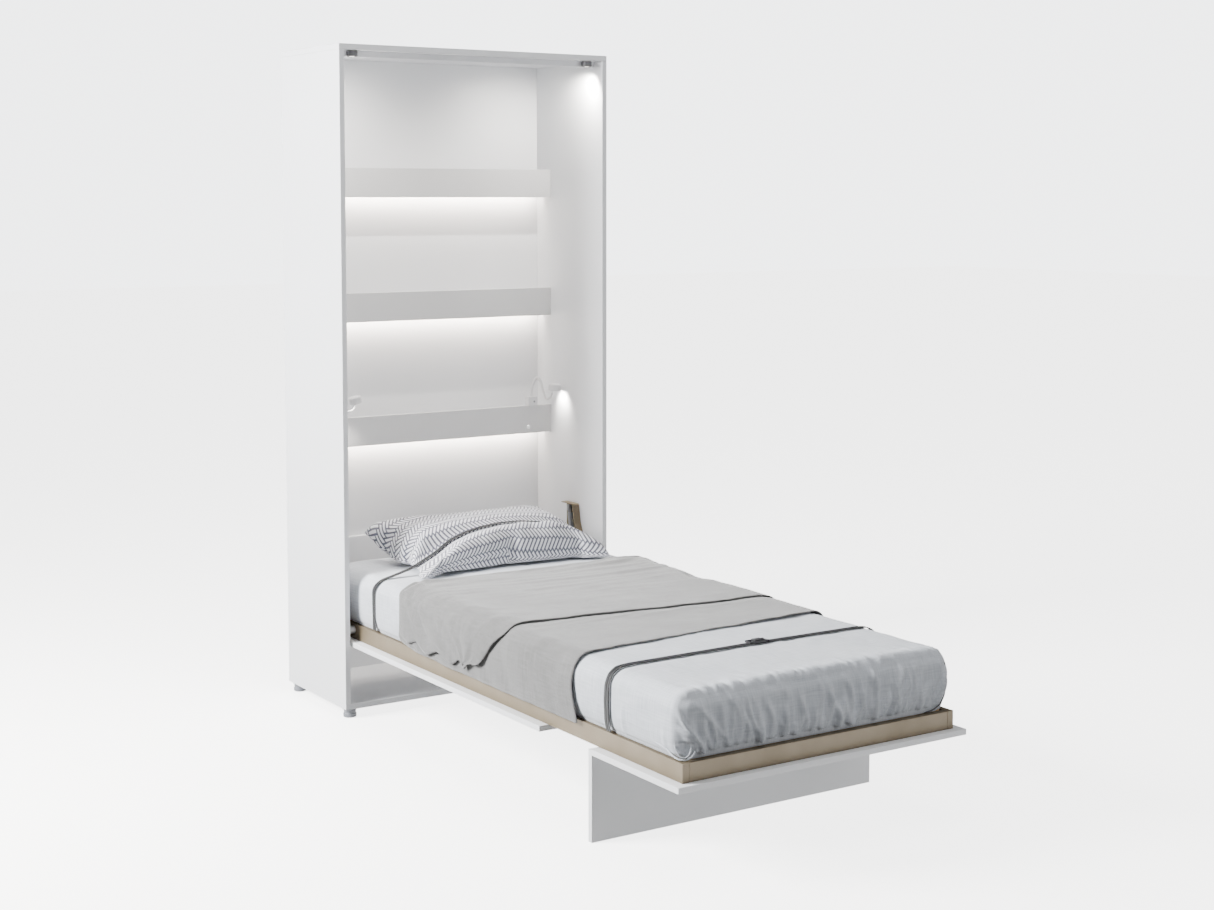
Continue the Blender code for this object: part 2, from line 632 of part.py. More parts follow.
def make_frame(finish, parent):
    foot, head = -BED_REACH, BED_INSIDE
    for side, sign in SIDES:
        inner, outer = sorted((sign * FRAME_IN, sign * FRAME_HALF))
        rail = box("bed_side_rail_" + side, (inner, foot, FRAME_LOW), (outer, head, FRAME_TOP),
                   finish["champagne"], parent, origin=(0, PIVOT_Y, PIVOT_Z), edge=0)
        bore(rail, (0, PIVOT_Y, PIVOT_Z), "x", PIN_RADIUS + PIN_PLAY, inner - 0.01, outer + 0.01)
    inside = FRAME_IN - GAP
    for name, start in (("bed_foot_rail", foot), ("bed_head_rail", head - RAIL_THICK)):
        box(name, (-inside, start, FRAME_LOW), (inside, start + RAIL_THICK, FRAME_TOP),
            finish["champagne"], parent, origin=(0, PIVOT_Y, PIVOT_Z), edge=0.001)
    middle = LEG_AXIS_Y - CROSS_RAIL_FORWARD
    box("bed_cross_rail", (-inside, middle - CROSS_RAIL_HALF, FRAME_LOW + CROSS_RAIL_UP),
        (inside, middle + CROSS_RAIL_HALF, FRAME_TOP - SLAT_THICK - BATTEN - GAP), finish["champagne"], parent,
        origin=(0, PIVOT_Y, PIVOT_Z), edge=0.001)


def make_spring_arms(finish, parent):
    """A plate on each side rail that carries the stud for the gas spring's lower eye."""
    low_y, low_z, _, _ = spring_ends()
    round_end = arc((low_y, low_z), ARM_END_RADIUS, 90, -60, 6)
    outline = [(PIVOT_Y + ARM_START, FRAME_LOW + 0.008), (PIVOT_Y + ARM_START, FRAME_TOP - 0.004),
               *round_end]
    outline.reverse()
    for side, sign in SIDES:
        inner = FRAME_HALF + GAP
        shape = prism_shape(outline, sign * inner, sign * (inner + ARM_THICK), "x")
        arm = add_object("spring_arm_" + side, mesh_of("spring_arm_" + side, shape),
                         finish["steel"], (0, 0, 0), parent)
        boss_length = SPRING_X - EYE_HALF - STUD_CLEAR - inner - ARM_THICK + 0.002
        boss = turned_shape(rod_profile(boss_length, STUD_RADIUS * 1.6, 0), "x", 20)
        start = inner + ARM_THICK - 0.002
        boolean(arm, boss, (start if sign > 0 else -start - boss_length, low_y, low_z), "UNION")


def make_slats(finish, parent):
    """Sprung slats on two battens, one deck between the rails."""
    inside = FRAME_IN - 0.001
    top = FRAME_TOP
    start = -BED_REACH + RAIL_THICK + SLAT_END_SPACE
    end = BED_INSIDE - RAIL_THICK - SLAT_END_SPACE
    pitch = (end - start - SLAT_WIDTH) / (SLAT_COUNT - 1)
    low = top - SLAT_THICK
    shape = box_shape((-inside, start, low), (inside, start + SLAT_WIDTH, top))
    deck = add_object("slat_deck", mesh_of("slat_deck", shape), finish["birch"], (0, 0, 0), parent)
    for number in range(1, SLAT_COUNT):
        near = start + number * pitch
        boolean(deck, box_shape((-inside, near, low), (inside, near + SLAT_WIDTH, top)),
                (0, 0, 0), "UNION")
    for sign in (-1, 1):
        inner, outer = sorted((sign * (inside - BATTEN_WIDTH), sign * (inside - 0.0005)))
        boolean(deck, box_shape((inner, start + 0.005, low - BATTEN), (outer, end - 0.005, low + 0.002)),
                (0, 0, 0), "UNION")


def make_front(finish, parent):
    """The cabinet's front in two boards under the frame, with the leg's gap between them."""
    origin = (0, PIVOT_Y, PIVOT_Z)
    box("front_panel_head", (-FRONT_HALF, FRONT_HEAD_END, FRONT_LOW),
        (FRONT_HALF, FRONT_INSIDE, FRONT_TOP), finish["white"], parent, origin)
    box("front_panel_foot", (-FRONT_HALF, -FRONT_REACH, FRONT_LOW),
        (FRONT_HALF, FRONT_FOOT_START, FRONT_TOP), finish["white"], parent, origin)


# ---------------------------------------------------------------- folding leg


def make_leg(finish, parent):
    origin = (0, LEG_AXIS_Y, LEG_AXIS_Z)
    leg = box("leg_panel", (-LEG_HALF, LEG_FRONT, 0), (LEG_HALF, LEG_BACK, LEG_TOP),
              finish["white"], parent, origin, edge=0)
    for _, sign in SIDES:
        x = sign * HINGE_X
        reach = HINGE_HALF + NOTCH_SPARE
        boolean(leg, box_shape((x - reach, LEG_FRONT - 0.01, LEG_AXIS_Z - NOTCH_DEEP),
                               (x + reach, LEG_BACK + 0.01, LEG_TOP + 0.01)), (0, 0, 0))


def make_leg_hinges(finish, parent):
    """The fixed half hangs a lug from the cross rail; the moving half holds the pin on the leg."""
    rail_low = FRAME_LOW + CROSS_RAIL_UP
    for side, sign in SIDES:
        x = sign * HINGE_X
        axis = (x, LEG_AXIS_Y, LEG_AXIS_Z)
        top = rail_low - GAP
        shape = box_shape((x - HINGE_HALF, LEG_AXIS_Y - 0.020, top - LEAF_THICK),
                          (x + HINGE_HALF, LEG_AXIS_Y + 0.004, top))
        name = "leg_hinge_bracket_" + side
        bracket = add_object(name, mesh_of(name, shape), finish["steel"], (0, 0, 0), parent)
        boolean(bracket, box_shape((x - LUG_HALF, LEG_AXIS_Y - BARREL + 0.0002, LEG_AXIS_Z),
                                   (x + LUG_HALF, LEG_AXIS_Y + BARREL - 0.0002, top - 0.001)),
                (0, 0, 0), "UNION")
        barrel = turned_shape(rod_profile(2 * LUG_HALF, BARREL, 0), "x", 20)
        boolean(bracket, barrel, (x - LUG_HALF, LEG_AXIS_Y, LEG_AXIS_Z), "UNION")
        bore(bracket, axis, "x", HINGE_PIN + HINGE_PIN_PLAY, -LUG_HALF - 0.003, LUG_HALF + 0.003, 16)

        name = "leg_hinge_leaf_" + side
        face = LEG_BACK + GAP
        shape = box_shape((x - HINGE_HALF, face, LEG_AXIS_Z - LEAF_HEIGHT),
                          (x + HINGE_HALF, face + LEAF_THICK, LEG_AXIS_Z - BARREL - KNUCKLE_PLAY))
        leaf = add_object(name, mesh_of(name, shape), finish["steel"], (0, 0, 0), parent)
        for end in (-1, 1):
            inner, outer = sorted((end * (LUG_HALF + KNUCKLE_PLAY), end * HINGE_HALF))
            knuckle = turned_shape(rod_profile(outer - inner, BARREL, 0), "x", 20)
            boolean(leaf, knuckle, (x + inner, LEG_AXIS_Y, LEG_AXIS_Z), "UNION")
            boolean(leaf, box_shape((x + inner, LEG_AXIS_Y, LEG_AXIS_Z - NOTCH_DEEP + 0.0005),
                                    (x + outer, face + LEAF_THICK, LEG_AXIS_Z + 0.0002)),
                    (0, 0, 0), "UNION")
        pin = turned_shape(rod_profile(2 * HINGE_HALF - 0.004, HINGE_PIN, 0), "x", 16)
        boolean(leaf, pin, (x - HINGE_HALF + 0.002, LEG_AXIS_Y, LEG_AXIS_Z), "UNION")


# ---------------------------------------------------------------- mattress and bedding

def make_mattress(finish, parent):
    low = (-MATTRESS_HALF, -BED_REACH + MATTRESS_SHORT, FRAME_TOP + 0.0005)
    high = (MATTRESS_HALF, BED_INSIDE - MATTRESS_SHORT, MATTRESS_TOP)
    mattress = box("mattress", low, high, finish["linen"], parent, origin=(0, PIVOT_Y, PIVOT_Z),
                   edge=MATTRESS_ROUND, segments=6)
    mattress.data.shade_smooth()


def over_mattress(clearance, steps=6):
    """(x, z) points over the mattress from its left side to its right, a clearance away."""
    radius = MATTRESS_ROUND + clearance
    x = MATTRESS_HALF - MATTRESS_ROUND
    z = MATTRESS_TOP - MATTRESS_ROUND
    return [*arc((-x, z), radius, 180, 90, steps), *arc((x, z), radius, 90, 0, steps)]


def make_blanket(finish, parent):
    """A folded throw over the mattress, hanging down both sides."""
    inner = over_mattress(BLANKET_CLEAR)
    outer = over_mattress(BLANKET_CLEAR + BLANKET_THICK)
    left_in, right_in = inner[0][0], inner[-1][0]
    left_out, right_out = outer[0][0], outer[-1][0]
    outline = [(left_out, BLANKET_HEM), *outer, (right_out, BLANKET_HEM), (right_in, BLANKET_HEM),
               *reversed(inner), (left_in, BLANKET_HEM)]
    shape = prism_shape(outline, -BLANKET_FOOT, -BLANKET_HEAD, "y")
    add_object("blanket", mesh_of("blanket", shape), finish["blanket"], (0, 0, 0), parent)


def pillow_top(x, y):
    """Height of the pillow's upper side over the mattress at a place on it."""
    u = (x - PILLOW_MIDDLE[0]) / PILLOW_HALF_LENGTH
    v = (y - PILLOW_MIDDLE[1]) / PILLOW_HALF_WIDTH
    crown = max(0.0, (1 - abs(u) ** 2.2)) * max(0.0, (1 - abs(v) ** 3.0))
    lift = PILLOW_BACK_LIFT * max(0.0, v) ** 2
    return PILLOW_EDGE + (PILLOW_HEIGHT - PILLOW_EDGE) * crown ** 0.72 + lift


def make_pillow(finish, parent):
    """A plump rectangular pillow, flat where it rests, with its back edge lifted a little."""
    columns, rows = 20, 14
    shape = bmesh.new()
    base = MATTRESS_TOP + 0.0006
    layers = []
    for upper in (True, False):
        grid = []
        for i in range(columns + 1):
            line = []
            for j in range(rows + 1):
                u = -math.cos(math.pi * i / columns)
                v = -math.cos(math.pi * j / rows)
                x = PILLOW_MIDDLE[0] + u * PILLOW_HALF_LENGTH * (1 - 0.045 * (1 - v * v))
                y = PILLOW_MIDDLE[1] + v * PILLOW_HALF_WIDTH * (1 - 0.06 * (1 - u * u))
                lift = PILLOW_BACK_LIFT * max(0.0, v) ** 2
                top = pillow_top(PILLOW_MIDDLE[0] + u * PILLOW_HALF_LENGTH,
                                 PILLOW_MIDDLE[1] + v * PILLOW_HALF_WIDTH)
                rim = i in (0, columns) or j in (0, rows)
                height = lift + PILLOW_RIM if rim else (top if upper else lift)
                line.append(layers[0][i][j] if rim and not upper
                            else shape.verts.new((x, y, base + height)))
            grid.append(line)
        layers.append(grid)
    for grid, flip in zip(layers, (False, True)):
        for i in range(columns):
            for j in range(rows):
                face = [grid[i][j], grid[i + 1][j], grid[i + 1][j + 1], grid[i][j + 1]]
                shape.faces.new(list(reversed(face)) if flip else face)
    pillow = add_object("pillow", mesh_of("pillow", shape), finish["pillow"], (0, 0, 0), parent)
    pillow.data.shade_smooth()


def strap(name, path, middle_y, finish, parent):
    """A flat band along an (x, z) path, its thickness laid outside the path."""
    outer = []
    for i, spot in enumerate(path):
        before = Vector(path[max(i - 1, 0)])
        after = Vector(path[min(i + 1, len(path) - 1)])
        along = (after - before).normalized()
        outer.append((spot[0] - along.y * STRAP_THICK, spot[1] + along.x * STRAP_THICK))
    outline = [*path, *reversed(outer)]
    shape = prism_shape(outline, middle_y - STRAP_WIDTH / 2, middle_y + STRAP_WIDTH / 2, "y")
    add_object(name, mesh_of(name, shape), finish["strap"], (0, 0, 0), parent)


def make_straps(finish, parent):
    """Bands that hold the bedding while the bed is closed, the head one over the pillow."""
    round_corners = over_mattress(STRAP_CLEAR)
    half = len(round_corners) // 2
    ends = ((round_corners[0][0], STRAP_LOW), (round_corners[-1][0], STRAP_LOW))
    strap("foot_strap", [ends[0], *round_corners, ends[1]], FOOT_STRAP_Y, finish, parent)
    over = []
    steps = 22
    for i in range(steps + 1):
        x = PILLOW_MIDDLE[0] + (PILLOW_HALF_LENGTH + STRAP_PAST_PILLOW) * (2 * i / steps - 1)
        near = [pillow_top(x, y) for y in (HEAD_STRAP_Y - STRAP_WIDTH / 2, HEAD_STRAP_Y,
                                           HEAD_STRAP_Y + STRAP_WIDTH / 2)]
        rise = max(near)
        past = abs(x - PILLOW_MIDDLE[0]) - PILLOW_HALF_LENGTH
        over.append((x, MATTRESS_TOP + (rise + STRAP_OVER_PILLOW if past < 0 else STRAP_OVER_SHEET)))
    strap("head_strap", [ends[0], *round_corners[:half], *over, *round_corners[half:], ends[1]],
          HEAD_STRAP_Y, finish, parent)
    top = MATTRESS_TOP + STRAP_CLEAR + STRAP_THICK + GAP
    box("strap_buckle", (0.0, FOOT_STRAP_Y - BUCKLE[1] / 2, top),
        (BUCKLE[0], FOOT_STRAP_Y + BUCKLE[1] / 2, top + BUCKLE[2]), finish["strap"], parent,
        edge=0.0015)


# ---------------------------------------------------------------- the whole object

def main():
    clear_scene()
    origin = bpy.data.objects.new("cabinet_front", None)
    bpy.context.scene.collection.objects.link(origin)
    origin.location = (0, SHIFT, 0)
    finish = {
        "white": material("white_board", (0.84, 0.85, 0.87), 0.45),
        "grey": material("grey_fascia", (0.60, 0.60, 0.61), 0.35),
        "champagne": material("champagne_steel", (0.36, 0.30, 0.21), 0.45),
        "steel": material("zinc_steel", (0.42, 0.42, 0.43), 0.35, 1.0),
        "spring": material("spring_paint", (0.22, 0.225, 0.24), 0.4),
        "chrome": material("chrome", (0.75, 0.75, 0.76), 0.12, 1.0),
        "dark_metal": material("spot_metal", (0.16, 0.16, 0.17), 0.4, 1.0),
        "lamp": material("lamp_plastic", (0.78, 0.78, 0.79), 0.4),
        "foot": material("foot_plastic", (0.27, 0.28, 0.31), 0.5),
        "led": material("led_diffuser", (0.95, 0.92, 0.86), 0.5),
        "birch": material("birch", (0.62, 0.45, 0.27), 0.6),
        "linen": material("mattress_linen", (0.68, 0.71, 0.76), 0.9),
        "pillow": material("pillow_cotton", (0.78, 0.78, 0.82), 0.9),
        "blanket": material("blanket_wool", (0.46, 0.45, 0.45), 0.95),
        "strap": material("strap_black", (0.03, 0.03, 0.033), 0.7),
    }
    make_cabinet(finish, origin)
    make_feet(finish, origin)
    make_shelves(finish, origin)
    make_spotlights(finish, origin)
    make_lamps(finish, origin)
    make_hinge_plates(finish, origin)
    make_pivot_pins(finish, origin)
    make_gas_springs(finish, origin)
    make_frame(finish, origin)
    make_spring_arms(finish, origin)
    make_slats(finish, origin)
    make_front(finish, origin)
    make_leg(finish, origin)
    make_leg_hinges(finish, origin)
    make_mattress(finish, origin)
    make_blanket(finish, origin)
    make_pillow(finish, origin)
    make_straps(finish, origin)


main()
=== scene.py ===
"""The looks of the wall bed: fabrics, finishes, small fittings, light and camera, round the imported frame.

Metres, in the row's frame: +Z up, the bed's foot towards -Y, x = 0 down the middle.
"""

import json
import math

import bmesh
import bpy
import numpy as np
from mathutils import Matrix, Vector, noise


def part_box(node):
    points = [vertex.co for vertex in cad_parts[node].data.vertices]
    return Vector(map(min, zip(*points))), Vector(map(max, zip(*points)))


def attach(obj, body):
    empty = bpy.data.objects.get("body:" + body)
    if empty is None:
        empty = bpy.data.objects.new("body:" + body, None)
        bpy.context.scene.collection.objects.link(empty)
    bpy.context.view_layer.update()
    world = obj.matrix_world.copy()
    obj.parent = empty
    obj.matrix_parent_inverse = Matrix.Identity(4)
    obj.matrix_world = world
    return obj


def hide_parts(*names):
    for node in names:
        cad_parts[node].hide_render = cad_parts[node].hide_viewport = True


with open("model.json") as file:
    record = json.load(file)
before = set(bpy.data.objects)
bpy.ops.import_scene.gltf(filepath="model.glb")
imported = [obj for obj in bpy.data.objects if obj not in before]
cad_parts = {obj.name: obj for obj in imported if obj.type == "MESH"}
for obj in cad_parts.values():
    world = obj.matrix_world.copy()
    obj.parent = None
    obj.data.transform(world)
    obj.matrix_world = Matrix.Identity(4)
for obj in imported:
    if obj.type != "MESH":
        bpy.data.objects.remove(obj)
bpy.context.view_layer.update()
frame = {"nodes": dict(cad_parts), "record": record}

# ---------------------------------------------------------------- sizes read from the frame


def corners(node):
    low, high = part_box(node)
    return np.array(low), np.array(high)


SIDE_LOW = corners("side_panel_right")[0]
CAB_FRONT = SIDE_LOW[1]  # the cabinet's front face
INSIDE_X = SIDE_LOW[0]  # the side panel's inner face
MAT_LOW, MAT_HIGH = corners("mattress")
FRAME_TOP = corners("bed_side_rail_left")[1][2]
HEAD_STRAP = corners("head_strap")
FOOT_STRAP = corners("foot_strap")
HEAD_STRAP_Y = (HEAD_STRAP[0][1] + HEAD_STRAP[1][1]) / 2
FOOT_STRAP_Y = (FOOT_STRAP[0][1] + FOOT_STRAP[1][1]) / 2
PILLOW = corners("pillow")
MAT_TOP = MAT_HIGH[2]
MAT_HALF = 0.45  # half the mattress's width, for shapes that fade across it

# ---------------------------------------------------------------- node helpers


class Finish:
    """A material under construction: a Principled shader and short ways to add nodes."""

    def __init__(self, name, colour, roughness, metallic=0.0, **sockets):
        self.material = bpy.data.materials.new(name)
        self.material.use_nodes = True
        self.tree = self.material.node_tree
        self.shader = self.tree.nodes["Principled BSDF"]
        self.colour = (*colour, 1.0)
        self.set("Base Color", self.colour)
        self.set("Roughness", roughness)
        self.set("Metallic", metallic)
        for key, value in sockets.items():
            self.set(key.replace("_", " "), value)
        self.place = self.tree.nodes.new("ShaderNodeTexCoord")
        self.bumps = None

    def set(self, socket, value):
        self.shader.inputs[socket].default_value = value

    def link(self, source, target):
        self.tree.links.new(source, target)

    def put(self, value, socket):
        """A number, a vector or another node's output into a socket."""
        if isinstance(value, (int, float, tuple)):
            socket.default_value = value
        else:
            self.link(value, socket)

    def math(self, operation, a, b=0.0, c=0.0):
        node = self.tree.nodes.new("ShaderNodeMath")
        node.operation = operation
        for value, socket in zip((a, b, c), node.inputs):
            self.put(value, socket)
        return node.outputs[0]

    def coordinates(self, kind="Object", scale=(1, 1, 1), turn=0.0):
        node = self.tree.nodes.new("ShaderNodeMapping")
        node.inputs["Scale"].default_value = scale
        node.inputs["Rotation"].default_value = (0, 0, turn)
        self.link(self.place.outputs[kind], node.inputs["Vector"])
        return node.outputs[0]

    def split(self, vector):
        node = self.tree.nodes.new("ShaderNodeSeparateXYZ")
        self.link(vector, node.inputs[0])
        return node.outputs

    def noise(self, scale, detail=2.0, roughness=0.5, stretch=(1, 1, 1), kind="Object", distortion=0.0):
        node = self.tree.nodes.new("ShaderNodeTexNoise")
        node.inputs["Scale"].default_value = scale
        node.inputs["Detail"].default_value = detail
        node.inputs["Roughness"].default_value = roughness
        node.inputs["Distortion"].default_value = distortion
        self.link(self.coordinates(kind, stretch), node.inputs["Vector"])
        return node.outputs["Fac"]

    def spread(self, value, low, high, out_low=0.0, out_high=1.0):
        node = self.tree.nodes.new("ShaderNodeMapRange")
        self.put(value, node.inputs["Value"])
        for key, number in (("From Min", low), ("From Max", high), ("To Min", out_low), ("To Max", out_high)):
            node.inputs[key].default_value = number
        return node.outputs[0]

    def mix(self, share, first, second):
        node = self.tree.nodes.new("ShaderNodeMix")
        node.data_type = "RGBA"
        self.put(share, node.inputs["Factor"])
        for value, socket in ((first, node.inputs[6]), (second, node.inputs[7])):
            self.put((*value, 1.0)[:4] if isinstance(value, tuple) else value, socket)
        return node.outputs[2]

    def tint(self, share, dark, light):
        """Base colour from dark to light by a share."""
        made = self.mix(share, dark, light)
        self.link(made, self.shader.inputs["Base Color"])
        return made

    def rough(self, share, low, high):
        self.link(self.spread(share, 0.3, 0.7, low, high), self.shader.inputs["Roughness"])

    def bump(self, height, depth, strength=1.0):
        """Relief of a real depth in metres. Later ones lie on the earlier ones."""
        node = self.tree.nodes.new("ShaderNodeBump")
        node.inputs["Strength"].default_value = strength
        node.inputs["Distance"].default_value = depth
        self.link(height, node.inputs["Height"])
        if self.bumps:
            self.link(self.bumps, node.inputs["Normal"])
        self.bumps = node.outputs[0]
        self.link(self.bumps, self.shader.inputs["Normal"])


def weave(finish, pitch):
    """Height of a plain weave with threads this far apart."""
    x, y, _ = finish.split(finish.coordinates("UV", (1 / pitch, 1 / pitch, 1 / pitch)))
    across = finish.math("ABSOLUTE", finish.math("SINE", finish.math("MULTIPLY", x, math.pi)))
    along = finish.math("ABSOLUTE", finish.math("SINE", finish.math("MULTIPLY", y, math.pi)))
    cell = finish.math("ADD", finish.math("FLOOR", x), finish.math("FLOOR", y))
    over = finish.math("FLOORED_MODULO", cell, 2.0)
    up = finish.math("MULTIPLY", across, over)
    down = finish.math("MULTIPLY", along, finish.math("SUBTRACT", 1.0, over))
    return finish.math("ADD", up, down)


# ---------------------------------------------------------------- finishes


def board_finish(name, colour, roughness):
    """Melamine-faced board: a fine orange-peel grain and a slightly uneven gloss."""
    made = Finish(name, colour, roughness)
    cloud = made.noise(2.2, 3.0)
    dark = tuple(c * 0.975 for c in colour)
    made.tint(made.spread(cloud, 0.35, 0.65), dark, colour)
    made.rough(made.noise(9.0, 4.0), roughness - 0.015, roughness + 0.02)
    made.bump(made.noise(1400.0, 2.0), 0.00004, 0.5)
    made.bump(made.noise(160.0, 3.0), 0.00008, 0.25)
    return made.material


def powder_finish(name, colour, roughness, metallic=0.25):
    """Powder coat: pimpled, with a slight metal flake in its colour."""
    made = Finish(name, colour, roughness, metallic)
    fleck = made.noise(2600.0, 1.0)
    light = tuple(min(1.0, c * 1.10) for c in colour)
    dark = tuple(c * 0.93 for c in colour)
    made.tint(made.spread(fleck, 0.35, 0.65), dark, light)
    made.rough(made.noise(14.0, 3.0), roughness - 0.05, roughness + 0.07)
    made.bump(made.noise(700.0, 2.0), 0.00009, 0.5)
    return made.material


def steel_finish(name, colour, roughness):
    """Plated or ground steel with a drawn grain and light handling marks."""
    made = Finish(name, colour, roughness, 1.0)
    lines = made.noise(180.0, 3.0, 0.6, (1, 1, 60))
    made.rough(made.noise(30.0, 4.0), roughness - 0.06, roughness + 0.12)
    made.tint(made.spread(lines, 0.3, 0.7), tuple(c * 0.86 for c in colour), colour)
    made.bump(lines, 0.00003, 0.4)
    return made.material


def plastic_finish(name, colour, roughness):
    """Moulded plastic with a fine spark-eroded texture."""
    made = Finish(name, colour, roughness)
    made.tint(made.spread(made.noise(12.0, 3.0), 0.3, 0.7), tuple(c * 0.95 for c in colour), colour)
    made.rough(made.noise(25.0, 3.0), roughness - 0.04, roughness + 0.06)
    made.bump(made.noise(500.0, 2.0), 0.00005, 0.4)
    return made.material


def birch_finish():
    made = Finish("birch", (0.62, 0.45, 0.27), 0.5)
    grain = made.noise(24.0, 5.0, 0.6, (0.5, 9.0, 9.0), distortion=0.6)
    fine = made.noise(220.0, 2.0, 0.5, (0.08, 1.0, 1.0))
    both = made.math("ADD", made.math("MULTIPLY", grain, 0.7), made.math("MULTIPLY", fine, 0.3))
    made.tint(made.spread(both, 0.35, 0.65), (0.46, 0.30, 0.15), (0.70, 0.52, 0.32))
    made.bump(fine, 0.00008, 0.5)
    return made.material


def cloth_finish(name, dark, light, pitch, relief, slub, sheen=0.3):
    """Woven cloth: a plain weave, slubs along both threads, and a soft sheen."""
    made = Finish(name, light, 0.92, Sheen_Weight=sheen, Sheen_Roughness=0.5, Specular_IOR_Level=0.2)
    height = weave(made, pitch)
    warp = made.noise(1.0, 3.0, 0.6, (1 / (pitch * 2.6), 14.0, 1.0), "UV")
    weft = made.noise(1.0, 3.0, 0.6, (11.0, 1 / (pitch * 2.6), 1.0), "UV")
    slubs = made.math("ADD", made.math("MULTIPLY", warp, 0.5), made.math("MULTIPLY", weft, 0.5))
    cloud = made.noise(5.0, 3.0, 0.5, (1, 1, 1), "UV")
    share = made.math("ADD", made.math("MULTIPLY", made.spread(slubs, 0.36, 0.64), slub),
                      made.math("MULTIPLY", made.spread(cloud, 0.3, 0.7), 1.0 - slub))
    made.tint(share, dark, light)
    made.bump(slubs, relief * 1.5, 0.7)
    made.bump(height, relief, 0.6)
    return made


def mosaic_finish():
    """White pillow cotton printed with a grey lattice of interlocking bars, three cells long."""
    made = cloth_finish("pillow_print", (0.80, 0.80, 0.84), (0.86, 0.86, 0.90), 0.0009, 0.00012, 0.5)
    cell = 0.0104
    gap = 0.42
    turned = made.coordinates("UV", (1 / cell, 1 / cell, 1 / cell), math.radians(45))
    x, y, _ = made.split(turned)
    column, row = made.math("FLOOR", x), made.math("FLOOR", y)
    u, v = made.math("SUBTRACT", x, column), made.math("SUBTRACT", y, row)
    step = made.math("FLOORED_MODULO", made.math("SUBTRACT", column, row), 6.0)
    lying = made.math("LESS_THAN", step, 2.5)

    def near(value, edge):
        """1 close to an edge of the cell: edge 0 is its start, 1 its end."""
        if edge:
            return made.math("GREATER_THAN", value, 1 - gap / 2)
        return made.math("LESS_THAN", value, gap / 2)

    def at(number):
        return made.math("COMPARE", step, float(number), 0.4)

    def either(a, b):
        return made.math("MAXIMUM", a, b)

    def both(a, b):
        return made.math("MULTIPLY", a, b)

    flat = either(either(near(v, 0), near(v, 1)),
                  either(both(at(0), near(u, 0)), both(at(2), near(u, 1))))
    upright = either(either(near(u, 0), near(u, 1)),
                     either(both(at(5), near(v, 0)), both(at(3), near(v, 1))))
    line = either(both(lying, flat), both(made.math("SUBTRACT", 1.0, lying), upright))
    plain = made.shader.inputs["Base Color"].links[0].from_socket
    ink = made.mix(made.noise(1500.0, 2.0), (0.115, 0.115, 0.155), (0.165, 0.165, 0.205))
    printed = made.mix(line, plain, ink)
    made.link(printed, made.shader.inputs["Base Color"])
    return made.material


def strap_finish():
    made = Finish("strap_webbing", (0.022, 0.023, 0.026), 0.7, Sheen_Weight=0.04, Sheen_Roughness=0.4)
    x, y, _ = made.split(made.coordinates("UV", (1, 1, 1)))
    ribs = made.math("ABSOLUTE", made.math("SINE", made.math("MULTIPLY", x, math.pi / 0.0016)))
    cords = made.math("ABSOLUTE", made.math("SINE", made.math("MULTIPLY", y, math.pi / 0.0028)))
    height = made.math("ADD", made.math("MULTIPLY", ribs, 0.6), made.math("MULTIPLY", cords, 0.4))
    # painted shade in the weave's relief: the hollows between ribs and cords are darker and their tops
    # lighter
    made.tint(height, (0.004, 0.004, 0.005), (0.014, 0.015, 0.017))
    made.bump(height, 0.0003, 0.7)
    return made.material


def glow_finish(name, colour, strength, roughness=0.5):
    """A lit diffuser, or the floor: a plain surface that also gives off light."""
    made = Finish(name, (0.9, 0.88, 0.84), roughness)
    made.set("Emission Color", (*colour, 1.0))
    made.set("Emission Strength", strength)
    made.bump(made.noise(900.0, 1.0), 0.00003, 0.3)
    return made.material


WHITE = board_finish("white_melamine", (0.83, 0.84, 0.86), 0.42)
GREY = board_finish("grey_fascia_foil", (0.60, 0.60, 0.605), 0.36)
CHAMPAGNE = powder_finish("champagne_powder", (0.150, 0.119, 0.075), 0.55)
ZINC = steel_finish("zinc_plate", (0.46, 0.46, 0.47), 0.36)
CHROME = steel_finish("chrome_rod", (0.75, 0.75, 0.76), 0.14)
SPRING = powder_finish("spring_enamel", (0.20, 0.205, 0.215), 0.36, 0.1)
SPOT = powder_finish("spot_anthracite", (0.10, 0.10, 0.105), 0.42, 0.4)
LAMP = plastic_finish("lamp_white", (0.72, 0.72, 0.73), 0.30)
FOOT = plastic_finish("foot_grey", (0.20, 0.21, 0.235), 0.5)
BIRCH = birch_finish()
LED = glow_finish("led_diffuser", (1.0, 0.86, 0.72), 6.0)
LENS = glow_finish("lamp_lens", (1.0, 0.95, 0.88), 5.0)
LINEN = cloth_finish("linen", (0.50, 0.535, 0.585), (0.76, 0.79, 0.835), 0.0016, 0.00030, 0.7).material
WOOL = cloth_finish("wool", (0.125, 0.124, 0.122), (0.235, 0.233, 0.230), 0.0021, 0.00045, 0.65, 0.5).material
PRINT = mosaic_finish()
STRAP = strap_finish()
SCREW = steel_finish("screw_steel", (0.55, 0.55, 0.56), 0.3)

FINISHES = {
    "white_board": WHITE, "grey_fascia": GREY, "champagne_steel": CHAMPAGNE, "zinc_steel": ZINC,
    "chrome": CHROME, "spring_paint": SPRING, "spot_metal": SPOT, "lamp_plastic": LAMP,
    "foot_plastic": FOOT, "birch": BIRCH, "led_diffuser": LED,
}
slots = {row["node"]: row["material_slot"] for row in frame["record"]["subparts"]}
for node, piece in frame["nodes"].items():
    finish = FINISHES.get(slots[node])
    if finish:
        for slot in piece.material_slots:
            slot.material = finish

# ---------------------------------------------------------------- mesh helpers


def add_object(name, data):
    made = bpy.data.objects.new(name, data)
    bpy.context.scene.collection.objects.link(made)
    return made


